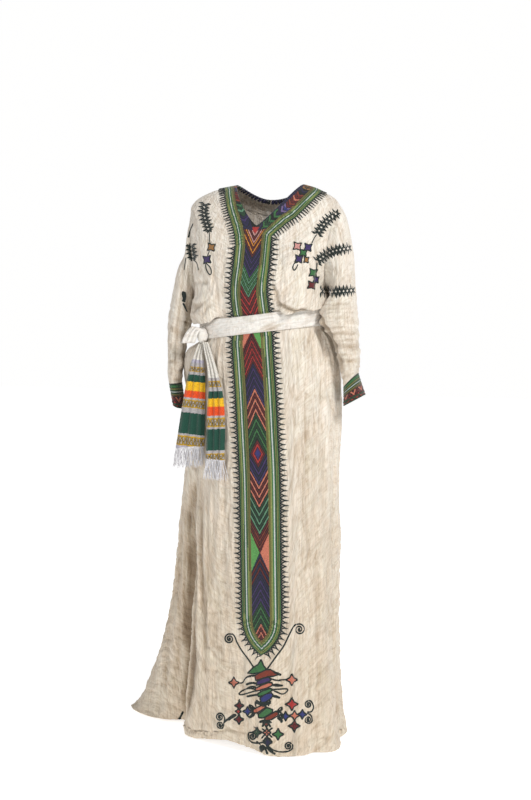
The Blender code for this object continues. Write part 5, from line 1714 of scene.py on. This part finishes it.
def strip_rows(middle, normal, width, across, rise):
    """Rows of points of one thread that lies along middle."""
    for _ in range(2):
        normal[1:-1] = unit(normal[:-2] + 2 * normal[1:-1] + normal[2:])
    middle[1:-1] = 0.25 * middle[:-2] + 0.5 * middle[1:-1] + 0.25 * middle[2:]
    side = unit(np.cross(normal, unit(np.gradient(middle, axis=0))))
    ends = np.minimum(np.arange(len(middle)), np.arange(len(middle))[::-1])
    full = np.clip(0.55 + ends * 0.3, 0, 1)[:, None, None]
    if width < 0:
        full = full * np.linspace(1, 0.2, len(middle))[:, None, None]
    wide = 1.45 * abs(width) * MM_A_PIXEL / 1000
    rows = middle[:, None] + side[:, None] * across[:, None] * wide * full
    return rows + normal[:, None] * (THREAD_LIFT + rise[:, None] * THREAD_RISE * full)


def line_strips(lines, name="outline_stitches"):
    """Half-round threads along lines in the picture. Each line is (width in pixels, points).

    A negative width makes a thread that tapers to its end.
    """
    points, faces = [], []
    across = np.array((-0.5, -0.30, 0.0, 0.30, 0.5))
    rise = np.array((-0.5, 0.7, 1.0, 0.7, -0.5))
    for width, places in lines:
        path = curve_through(places, 0.5) if len(places) > 2 else even_path(np.array(places, float), 0.5)[0]
        middle, normal = on_cloth(path)
        far = np.flatnonzero(np.linalg.norm(np.diff(middle, axis=0), axis=1) > LAYER_GAP) + 1
        for middle, normal in zip(np.split(middle, far), np.split(normal, far)):
            if len(middle) > 2:
                start = len(points)
                points += list(strip_rows(middle, normal, width, across, rise).reshape(-1, 3))
                for k in range(len(middle) - 1):
                    for j in range(4):
                        a = start + 5 * k + j
                        faces.append((a, a + 1, a + 6, a + 5))
    return mesh_piece(name, np.array(points), np.array(faces))


def spiral(x, y, radius, first, turns, way=1):
    """Points of a spiral in the picture, from its outside inwards. first is an angle in degrees."""
    share = np.linspace(0, 1, 8 * max(1, round(turns)) + 5)
    angle = np.radians(first) + way * share * (turns + 0.5) * 2 * np.pi
    reach = radius * (1 - 0.92 * share ** 0.9)
    return [(x + r * np.cos(a), y + r * np.sin(a)) for r, a in zip(reach, angle)]


def star(x, y, half, wide=1.0, turn=0.0, waist=0.40):
    """A diamond with hollow sides."""
    angle = np.radians(turn) + np.arange(8) * np.pi / 4
    reach = np.where(np.arange(8) % 2 == 0, half, half * waist * 1.22)
    return [(x + wide * r * np.cos(a), y + r * np.sin(a)) for r, a in zip(reach, angle)]


def cushion(x, y, half, wide=1.0, turn=8.0):
    """A square with pointed corners and hollow sides."""
    return star(x, y, half * 1.5, wide, 45 + turn, 0.42)


def leaf(x0, y0, x1, y1, wide, bend=0.0):
    """A leaf from its broad foot to its sharp tip."""
    run = np.array((x1 - x0, y1 - y0), float)
    side = np.array((-run[1], run[0])) / np.hypot(*run)
    share = np.array((0.0, 0.2, 0.45, 0.75, 1.0))
    half = np.array((0.55, 1.0, 0.8, 0.4, 0.06)) * wide / 2
    middle = np.array((x0, y0)) + share[:, None] * run + (bend * 4 * share * (1 - share))[:, None] * side
    return [tuple(p) for p in (*(middle + half[:, None] * side), *(middle - half[:, None] * side)[::-1])]


# Patches: thread, then the outline
HEM_PATCHES = (
    ("green", ((261, 659.6), (263.8, 666), (266.6, 669.4), (259.5, 672.6), (253, 673.6), (248, 673),
        (253.2, 667.6), (258.2, 664.6))),
    ("brown_red", ((255, 675.6), (259.5, 672.8), (266, 669.8), (270.6, 669.6), (274.4, 672), (279.6, 674),
        (274, 676), (268, 676.6), (262, 678.4), (255.6, 680.4))),
    ("purple", ((257, 681.4), (262, 678.6), (268, 677.2), (271.4, 679), (269.4, 681.4), (262, 684), (256.4, 685.2))),
    ("salmon", ((255.6, 688.4), (262, 685.2), (268, 682.8), (272, 682.8), (272.4, 685.2), (267, 687.8),
        (259.6, 690.2), (255.4, 691))),
    ("green", ((257.6, 694), (262, 691), (270.6, 688.4), (272.4, 689.6), (271, 691.4), (263, 695.6), (258.2, 696.4))),
    ("blue", ((260, 698.2), (265.6, 694), (271.2, 692.8), (273, 695), (271.2, 698.2), (265.6, 702), (261.4, 702.6))),
    ("salmon", ((253.2, 709.4), (262.6, 705), (266.2, 707), (257, 713), (253.2, 712.6))),
    ("green", ((258.2, 714.4), (266.8, 707.6), (272.4, 709.4), (272.4, 712.4), (263.2, 718), (258.8, 717.6))),
    ("brown_red", ((265, 717.6), (275.6, 711.4), (278.6, 712.6), (278, 715.6), (270.6, 720), (265, 720.6))),
    ("salmon", star(233.9, 682.6, 5.4)), ("salmon", star(291.8, 679.8, 5.8)),
    ("dark_red", star(239.4, 705.6, 4.8)), ("red", star(238.4, 711.4, 3.2)), ("dark_red", star(239.0, 719.4, 5.0)),
    ("blue", star(247.6, 711.4, 4.8)), ("red", star(291.8, 704.2, 6.4)), ("salmon", star(294.5, 715.6, 5.0)),
    ("dark_red", star(294.3, 726.0, 6.0)), ("blue", star(285.6, 716.2, 4.6)), ("blue", star(302.3, 714.4, 4.8)),
    ("dark_green", star(257.0, 732.4, 5.0)), ("salmon", star(266.9, 732.6, 4.4)), ("green", star(278.0, 734.3, 5.8)),
    ("navy", star(267.5, 742.3, 5.0)), ("brown_red", star(266.3, 724.0, 3.4)),
)
CHEST_PATCHES = (
    ("bronze", cushion(211.4, 247.2, 3.4)), ("purple", cushion(207.0, 259.6, 3.5, 1.0, -6)),
    ("pink", cushion(297.3, 246.2, 3.5)), ("purple", cushion(308.0, 247.4, 3.4)),
    ("green", cushion(303.2, 252.8, 2.9, 1.15)),
    ("purple", cushion(298.8, 259.0, 3.4)), ("bronze", cushion(306.3, 259.8, 2.8, 0.8)),
    ("green", cushion(313.2, 272.8, 3.5)), ("purple", cushion(316.0, 279.6, 3.0, 0.85)),
    ("dark_red", cushion(311.6, 285.2, 3.5)),
)


def inside(place, outline):
    """Whether a place lies in an outline, and how far from its edge."""
    x, y = place
    count, near = 0, 1e9
    for (x0, y0), (x1, y1) in zip(outline, (*outline[1:], outline[0])):
        if (y0 > y) != (y1 > y) and x < x0 + (y - y0) / (y1 - y0) * (x1 - x0):
            count += 1
        dx, dy = x1 - x0, y1 - y0
        share = min(max(((x - x0) * dx + (y - y0) * dy) / max(dx * dx + dy * dy, 1e-9), 0), 1)
        near = min(near, np.hypot(x - x0 - share * dx, y - y0 - share * dy))
    return count % 2 == 1, near


PATCH_DOME, PATCH_SINK = 0.0014, 0.0004


def satin_patches(name, patches, cell=0.62):
    """Domed patches of satin stitch. Their edges sink into the cloth."""
    points, faces, colours = [], [], []
    for thread, outline in patches:
        outline = [tuple(map(float, place)) for place in outline]
        ring = even_path(np.array((*outline, outline[0])), cell)[0][:-1]
        low, high = ring.min(0), ring.max(0)
        inner = []
        for gx in np.arange(low[0], high[0], cell):
            for gy in np.arange(low[1], high[1], cell):
                held, near = inside((gx, gy), outline)
                if held and near > 0.4 * cell:
                    inner.append((gx, gy))
        places = [Vector(p) for p in (*map(tuple, ring), *inner)]
        edges = [(k, (k + 1) % len(ring)) for k in range(len(ring))]
        flat, _, triangles, _, _, _ = delaunay_2d_cdt(places, edges, [], 1, 1e-4)
        placed, normal = on_cloth([tuple(p) for p in flat])
        height = np.array([min(inside(tuple(p), outline)[1], 1.0) for p in flat])
        satin = 0.12 * np.sin(np.array([p[0] * 1.1 + p[1] * 2.6 for p in flat]) * 2.2)
        placed = placed + normal * (PATCH_DOME * np.sqrt(height) * (1 + satin) - PATCH_SINK)[:, None]
        start = len(points)
        points += list(placed)
        for triangle in triangles:
            corners = placed[list(triangle)]
            if np.linalg.norm(corners - np.roll(corners, 1, 0), axis=1).max() > LAYER_GAP:
                continue
            faces.append([int(k) + start for k in triangle])
            colours.append(THREADS[thread])
    mesh = bpy.data.meshes.new(name)
    mesh.from_pydata([tuple(p) for p in points], [], faces)
    shape = bmesh.new()
    shape.from_mesh(mesh)
    bmesh.ops.delete(shape, geom=[v for v in shape.verts if not v.link_faces], context="VERTS")
    turned = [f for f in shape.faces if f.normal.dot(gaze) > 0]
    bmesh.ops.reverse_faces(shape, faces=turned)
    shape.to_mesh(mesh)
    shape.free()
    layer = mesh.uv_layers.new(name="cloth")
    for loop, vertex in enumerate(mesh.loops):
        x, y = seen_at(mesh.vertices[vertex.vertex_index].co)
        layer.data[loop].uv = (float(x) * MM_A_PIXEL / 1000, float(y) * MM_A_PIXEL / 1000)
    mesh.shade_smooth()
    obj = bpy.data.objects.new(name, mesh)
    bpy.context.scene.collection.objects.link(obj)
    paint(obj, np.array(colours))
    mesh.materials.append(tibeb)
    print(name, len(faces), "faces")
    return obj


hem_cross = satin_patches("hem_cross_patches", HEM_PATCHES)
chest_flowers = satin_patches("chest_flower_patches", CHEST_PATCHES)

# %% Their outlines


HEM_LEAVES = (
    leaf(257, 676, 245.6, 679.4, 2.6, 1.6), leaf(272, 672, 282.4, 674.6, 2.4, -0.6),
    leaf(257.6, 683.6, 244.4, 684.6, 2.8, 1.0),
    leaf(256.6, 690, 243, 688.8, 2.2, 1.2), leaf(258.4, 695.4, 246.6, 697, 2.4, 0.8),
    leaf(271, 678.6, 284, 681.2, 2.0, 0.8),
    leaf(271.6, 685.2, 284.4, 685.4, 2.6, -0.8), leaf(272.2, 690.6, 280, 691.6, 1.6),
    leaf(272.4, 696, 282, 698, 2.6, -0.8),
    leaf(266, 702.6, 254.6, 702, 3.0), leaf(262, 702.8, 272.4, 702, 3.0), leaf(256, 707, 254, 700.6, 2.0),
    leaf(268, 706.6, 270.4, 700.8, 2.0),
    leaf(254.6, 709.6, 249.4, 704, 3.0, 0.8), leaf(254.4, 713, 249.8, 718.6, 3.0, -0.8),
    leaf(253, 711.4, 246, 712, 2.2),
    leaf(277.6, 713, 281.4, 706, 3.0, -0.8), leaf(277.6, 716, 282, 722.4, 3.0, 0.8), leaf(278, 714.4, 284, 716, 2.2),
    leaf(266, 720.4, 257.6, 722.8, 3.0, -0.6), leaf(266.6, 720.4, 273.4, 723, 3.0, 0.6),
    leaf(266.2, 719, 266.4, 730, 3.4),
    leaf(257, 728.4, 252.6, 726.4, 2.0), leaf(236.6, 714.6, 226.4, 719.6, 4.0, 0.6),
    leaf(228, 718.6, 223.4, 724.4, 2.4),
    leaf(263.4, 744.6, 260.2, 753.4, 4.4, -1.2), leaf(267, 745, 276.4, 754.6, 2.8, 0.8),
    leaf(256, 741, 262.6, 746.6, 2.6),
    leaf(265, 746, 267.6, 754.4, 2.0), leaf(267, 737, 260.4, 742.8, 2.4), leaf(268, 737.4, 274, 743, 2.4),
    leaf(240, 699, 237, 702.2, 1.8), leaf(292.6, 697, 291.4, 700, 1.8),
)
BLACK_MARKS = (
    leaf(183, 291, 184.4, 303, 4.2), leaf(183.4, 303, 188, 313, 2.2), leaf(190, 243, 189, 262, 2.4),
    leaf(178, 718, 186, 727, 4.4), leaf(183.4, 711, 178.6, 720, 2.6),
)


def closed(outline):
    return [*outline, outline[0]]


def straight(places):
    """Corner points kept sharp on a smooth curve, by doubling them."""
    return [p for place in places for p in (place, place)]


# Width in pixels of the picture, then the points of each thread
LINES = [(1.3, straight(closed(outline))) for _, outline in HEM_PATCHES]
LINES += [(0.95, straight(closed(outline))) for _, outline in CHEST_PATCHES]
# The filled eye at the middle of each spiral
LINES += [
    (2.6, ((x - 0.8, y), (x + 0.9, y))) for x, y in (
        (229.4, 638.8), (299.4, 629.4), (219.8, 717.2), (220.2, 724.8), (308.4, 704.4), (308.4, 719.8),
        (252.4, 736.4),
        (288.4, 746.2),
    )
]
LINES += [
    # Stems and spirals above the cross
    (1.2, ((254.2, 668.2), (247.6, 658.4), (242, 651), (237, 642.4), (234.6, 636.4), (231.8, 633.6))),
    (1.2, spiral(229.4, 638.8, 5.2, -60, 1.7, -1)),
    (1.2, ((266.8, 669.6), (275.6, 657.2), (283, 647.2), (288, 637.4), (293, 627.4), (296.2, 624.2))),
    (1.2, spiral(299.4, 629.4, 5.8, -120, 1.7, 1)),
    # Wings of the bars
    (1.1, ((239.2, 683.2), (242.8, 682.4), (245.4, 678.4), (249.6, 675.8), (256, 675.4))),
    (1.1, ((286.4, 679.6), (280, 680), (275.4, 680.2), (271, 678.6))),
    (1.7, ((246, 684.6), (251.6, 683), (257.6, 683.8))), (1.5, ((247, 688.6), (252, 686.6), (257, 688))),
    (1.5, ((272, 684.8), (277, 685.8), (283, 685.4))), (1.7, ((274, 672.6), (279, 674.4), (281.4, 675.2))),
    (1.6, ((246.6, 696.6), (252.4, 695.4), (258.4, 694.6))), (1.6, ((272.6, 696), (276.4, 697), (280.2, 697.8))),
    (1.1, ((255.6, 689.4), (249, 688.4), (243, 690.4), (239, 693.6), (241, 694.8), (247, 693.4), (255.4, 690.8))),
    (1.1, ((272.6, 689.4), (279, 689.2), (286, 688.8), (287.8, 690), (285, 693.2), (281, 693.8), (274, 690.8))),
    (2.2, ((255, 702.2), (262, 704.2), (266, 704), (271, 702.2))), (1.6, ((256, 700.4), (261, 703.4), (266, 706.4))),
    (1.6, ((271, 700.6), (267, 704), (262, 707))),
    # Spiky ends of the crossing
    (2.0, ((253.4, 710.4), (249.6, 706.4), (251, 705))), (1.8, ((253.4, 712.4), (250.4, 717), (248, 716.4))),
    (1.8, ((278.6, 713), (281.6, 709.6), (281.2, 706.6))), (1.8, ((278.2, 715.8), (281.8, 720.8), (280.4, 722.2))),
    (1.8, ((259.4, 722), (265.6, 720.6), (271.4, 722.6))), (1.6, ((262, 726.6), (266.4, 722.4), (270.8, 727))),
    (1.6, ((279.6, 712), (283.4, 716), (281, 719.4))),
    # Left and right ends
    (1.6, ((236.4, 714.6), (231.4, 718), (227, 719.8), (224, 722))),
    (2.4, ((233.4, 715.8), (229.4, 718.6), (228.2, 720.2))),
    (1.2, ((224, 722), (224.6, 717.8), (221.6, 713.2))), (1.2, spiral(219.8, 717.2, 4.2, -50, 1.5, -1)),
    (1.2, ((224, 722), (222.6, 728), (218.4, 728))), (1.2, spiral(220.2, 724.8, 3.8, 60, 1.4, 1)),
    (1.2, ((307, 712), (311.6, 711.4), (313.4, 706.6), (311.4, 701.6), (308.6, 700.4))),
    (1.2, spiral(308.4, 704.4, 3.8, -90, 1.4, -1)), (1.2, ((307, 712.6), (311.2, 716), (312, 721.4), (308.4, 723.6))),
    (1.2, spiral(308.4, 719.8, 3.8, 90, 1.4, 1)),
    # Foot
    (1.2, ((258, 743.4), (252, 742.4), (248.4, 738), (248.8, 733.2), (252, 732.4))),
    (1.2, spiral(252.4, 736.4, 4.0, -90, 1.4, 1)),
    (1.2, ((258, 743.4), (263, 742.4), (267.4, 742.6))),
    (1.2, ((268.6, 746.4), (273.4, 750.2), (280, 751.8), (287.6, 751.4), (292.4, 748.4), (292.4, 744))),
    (1.2, spiral(288.4, 746.2, 4.2, -30, 1.4, -1)), (2.6, ((262.4, 745.6), (260.2, 748.8), (261.8, 751.4))),
    (2.2, ((266.4, 746.6), (270.4, 750.6), (275.4, 754.2))), (1.8, ((263.8, 746), (265.8, 750), (267.6, 754.2))),
    (1.3, ((262, 728.6), (266.8, 732.4), (272.4, 737.6))), (1.3, ((272.6, 727.6), (266.8, 732.6), (261.4, 738.4))),
    # Chest loops and joins
    (0.95, ((206.4, 262.8), (205.6, 266.4), (207.2, 271.4), (209.8, 274.6), (211.4, 272.6), (210.2, 267.6),
        (206.6, 263.6))),
    (0.95, ((298, 262.4), (294.8, 263), (292.8, 267), (293.8, 270.2), (296, 268.6), (297.8, 264.4))),
    (0.8, ((311.6, 243.6), (314.6, 237.4), (317, 234.4))), (0.8, ((301, 249.6), (305, 250))),
    (0.8, ((304.6, 256), (306.6, 257))),
    (0.8, ((209.4, 232), (209.6, 241), (210.6, 244))), (0.8, ((209.4, 251), (207.6, 256))),
    (0.8, ((315, 275.6), (316, 277))),
    (0.9, ((193.4, 260), (197, 263.4), (198.4, 270.4))), (1.5, ((188.4, 237.6), (190.4, 230), (193.2, 223.6))),
    (0.9, ((184.4, 270), (185, 264), (186, 257.6))), (3.0, ((183.6, 292), (184.6, 297.4), (183.4, 302))),
    (1.6, ((183, 303), (185.4, 308.4), (187.4, 312))), (1.0, ((317, 262.6), (316.6, 270))),
    (3.2, ((179.4, 719.2), (181.6, 721.8), (184, 725.4))), (1.6, ((183.2, 711.4), (181.2, 715.6), (179, 719.4))),
]
hem_leaves = satin_patches("hem_leaf_patches", [("black", outline) for outline in (*HEM_LEAVES, *BLACK_MARKS)])
outline_stitches = line_strips(LINES)
outline_stitches.data.materials.append(black_thread)

# %% Herringbone bands of the sleeves
SLEEVE_BANDS = (
    (5.6, ((317.2, 234.2), (321, 227.6), (329, 219), (339, 211.6))),
    (5.6, ((317.4, 261.4), (324, 256), (333, 251.2), (351.4, 248))),
    (5.6, ((320.6, 291.2), (330, 291.8), (340, 291.4), (355, 290.2))),
    (5.4, ((205, 203.4), (203.6, 212), (206, 222), (209.6, 232.4))),
    (5.4, ((190.6, 245), (191.6, 252), (193.4, 260.4))),
)
HERRINGBONE_PITCH = 3.9


def herringbone(half, path):
    """Crossed stitches along a path in the picture, with a spike above and below every crossing."""
    fine = curve_through(path, HERRINGBONE_PITCH)
    run = unit(np.gradient(fine, axis=0))
    side = np.stack((-run[:, 1], run[:, 0]), 1)
    rng = np.random.default_rng(7)
    for k in range(len(fine) - 1):
        a, b, sa, sb = fine[k], fine[k + 1], side[k] * half * 0.46, side[k + 1] * half * 0.46
        yield 1.25, (tuple(a - sa), tuple(b + sb))
        yield 1.25, (tuple(a + sa), tuple(b - sb))
        for way in (1, -1):
            foot = a + way * sa * 0.9
            tip = foot + way * side[k] * half * rng.uniform(0.62, 0.80) + run[k] * rng.uniform(-0.3, 0.5)
            yield -2.3, (tuple(foot), tuple(tip))
            foot = (a + b) / 2 + way * sa * 0.35
            yield -1.5, (tuple(foot), tuple(foot + way * side[k] * half * 0.62))


sleeve_bands = line_strips([line for half, path in SLEEVE_BANDS for line in herringbone(half, path)],
    "sleeve_herringbone")
sleeve_bands.data.materials.append(black_thread)

# %% Fringe


def twisted_strand(name, long, radius):
    """Two plies wound round each other, hanging along -Z from the origin."""
    rings, sides, turns = 13, 5, 5.0
    points, faces = [], []
    for ply in range(2):
        base = len(points)
        for k in range(rings):
            share = k / (rings - 1)
            angle = 2 * np.pi * turns * share + np.pi * ply
            thin = radius * (1 - 0.35 * share)
            middle = np.array((np.cos(angle), np.sin(angle), 0.0)) * thin * 0.6
            middle += np.array((0.004 * np.sin(2.4 * share), 0.002 * np.sin(4 * share), -long * share))
            for j in range(sides):
                a = 2 * np.pi * j / sides
                points.append(middle + thin * 0.75 * np.array((np.cos(a), np.sin(a), 0.0)))
        for k in range(rings - 1):
            for j in range(sides):
                a, b = base + k * sides + j, base + k * sides + (j + 1) % sides
                faces.append((a, b, b + sides, a + sides))
        faces += [tuple(base + j for j in range(sides)),
            tuple(base + (rings - 1) * sides + j for j in range(sides))[::-1]]
    return closed_shape(name, points, faces)


strand = twisted_strand("fringe_strand", 0.052, 0.0013)
fringe_objects = {}
for label, table, count, seed in (("front", TAIL_FRONT, 64, 21), ("back", TAIL_BACK, 42, 22)):
    across = np.linspace(-0.96, 0.96, count)
    root = ribbon(table, across, np.full_like(across, len(table) - 1.0)) + np.array((0, 0, 0.0015))
    rng = np.random.default_rng(seed)
    lean = np.stack((rng.uniform(-0.22, 0.26, count), rng.uniform(-0.05, 0.12, count), np.ones(count)), -1)
    spin = rng.uniform(0, 2 * np.pi, count)
    run = np.stack((np.cos(spin), np.sin(spin), np.zeros(count)), -1)
    fringe_objects[label] = lay(
        "fringe_" + label + "_yarn", root, unit(lean), run, np.ones(count), strand, fringe_yarn, 0.86, 1.02,
        0.3, seed)

# %% [markdown]
# ## Floor and light
# A plain pale floor under the hem and large soft lights, as in a studio with white walls.

# %% Studio
floor_mesh = bpy.data.meshes.new("floor")
FLOOR_HALF = 9.0
floor_z = cad_box[0][2] - 0.0005
floor_mesh.from_pydata([(x, y, floor_z) for x, y in ((-1, -1), (1, -1), (1, 1), (-1, 1))
                        for x, y in ((x * FLOOR_HALF, y * FLOOR_HALF),)], [], [(0, 1, 2, 3)])
floor = bpy.data.objects.new("floor", floor_mesh)
bpy.context.scene.collection.objects.link(floor)
floor_material, floor_shader = material_for("pale_floor", (0.93, 0.93, 0.92), 0.9, 0.0)
floor_shader.inputs["Emission Color"].default_value = (1, 1, 1, 1)
floor_shader.inputs["Emission Strength"].default_value = 0.70
floor_mesh.materials.append(floor_material)

world = bpy.context.scene.world or bpy.data.worlds.new("world")
bpy.context.scene.world = world
world.use_nodes = True
world.node_tree.nodes["Background"].inputs[0].default_value = (1.0, 0.998, 0.995, 1)
seen = world.node_tree.nodes.new("ShaderNodeLightPath")
shown = world.node_tree.nodes.new("ShaderNodeMapRange")
shown.inputs[3].default_value, shown.inputs[4].default_value = 0.34, 1.0
world.node_tree.links.new(seen.outputs["Is Camera Ray"], shown.inputs[0])
world.node_tree.links.new(shown.outputs[0], world.node_tree.nodes["Background"].inputs[1])


def soft_light(name, place, target, size, power):
    light = bpy.data.lights.new(name, "AREA")
    light.shape, light.size, light.energy = "DISK", size, power
    lamp = bpy.data.objects.new(name, light)
    lamp.location = place
    lamp.rotation_mode = "QUATERNION"
    lamp.rotation_quaternion = (Vector(target) - Vector(place)).to_track_quat("-Z", "Y")
    bpy.context.scene.collection.objects.link(lamp)


soft_light("key", (2.6, -1.9, 2.2), (0, 0, -0.5), 0.9, 112)
soft_light("fill", (-1.8, -3.4, 0.8), (0, 0, -0.7), 1.8, 26)
bpy.context.scene.view_settings.view_transform = "Standard"
print("lights ready")

# %% [markdown]
# ## What each piece is
# Every piece rides on the root; the cloth pieces hide the solids they stand for, and the sheets print how large their
# cloth was cut.

# %% Ride and replace
BODY_PARTS = ("bodice", "skirt_upper", "skirt_lower")
for obj, nodes, slot in (
    (front_cloth, tuple("front_" + part for part in BODY_PARTS), "cotton_gauze"),
    (back_cloth, tuple("back_" + part for part in BODY_PARTS), "cotton_gauze"),
    (sleeve_left, ("sleeve_left",), "cotton_gauze"), (sleeve_right, ("sleeve_right",), "cotton_gauze"),
    (band_front, ("band_front",), "embroidered_band"), (band_back, ("band_back",), "embroidered_band"),
    (cuff_left, ("cuff_left",), "cuff_band"), (cuff_right, ("cuff_right",), "cuff_band"),
    (sash_waist, ("sash_waist",), "sash_cloth"), (sash_knot, ("sash_knot",), "sash_cloth"),
    (sash_loop, ("sash_loop",), "sash_cloth"), (tail_front, ("sash_tail_front",), "striped_cloth"),
    (tail_back, ("sash_tail_back",), "striped_cloth"),
    (fringe_objects["front"], ("fringe_front",), "fringe_yarn"),
    (fringe_objects["back"], ("fringe_back",), "fringe_yarn"),
):
    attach(obj, "root")
    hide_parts(*nodes)
stitched = [*tooth_objects, hem_cross, chest_flowers, hem_leaves, outline_stitches, sleeve_bands]
for obj in stitched:
    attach(obj, "root")

# %% Sheets


def area_of(obj):
    areas = np.zeros(len(obj.data.polygons))
    obj.data.polygons.foreach_get("area", areas)
    return float(areas.sum())


for obj in (front_cloth, back_cloth, sleeve_left, sleeve_right, sash_waist, tail_front, tail_back, sash_loop):
    print("area of", obj.name, round(area_of(obj), 4))
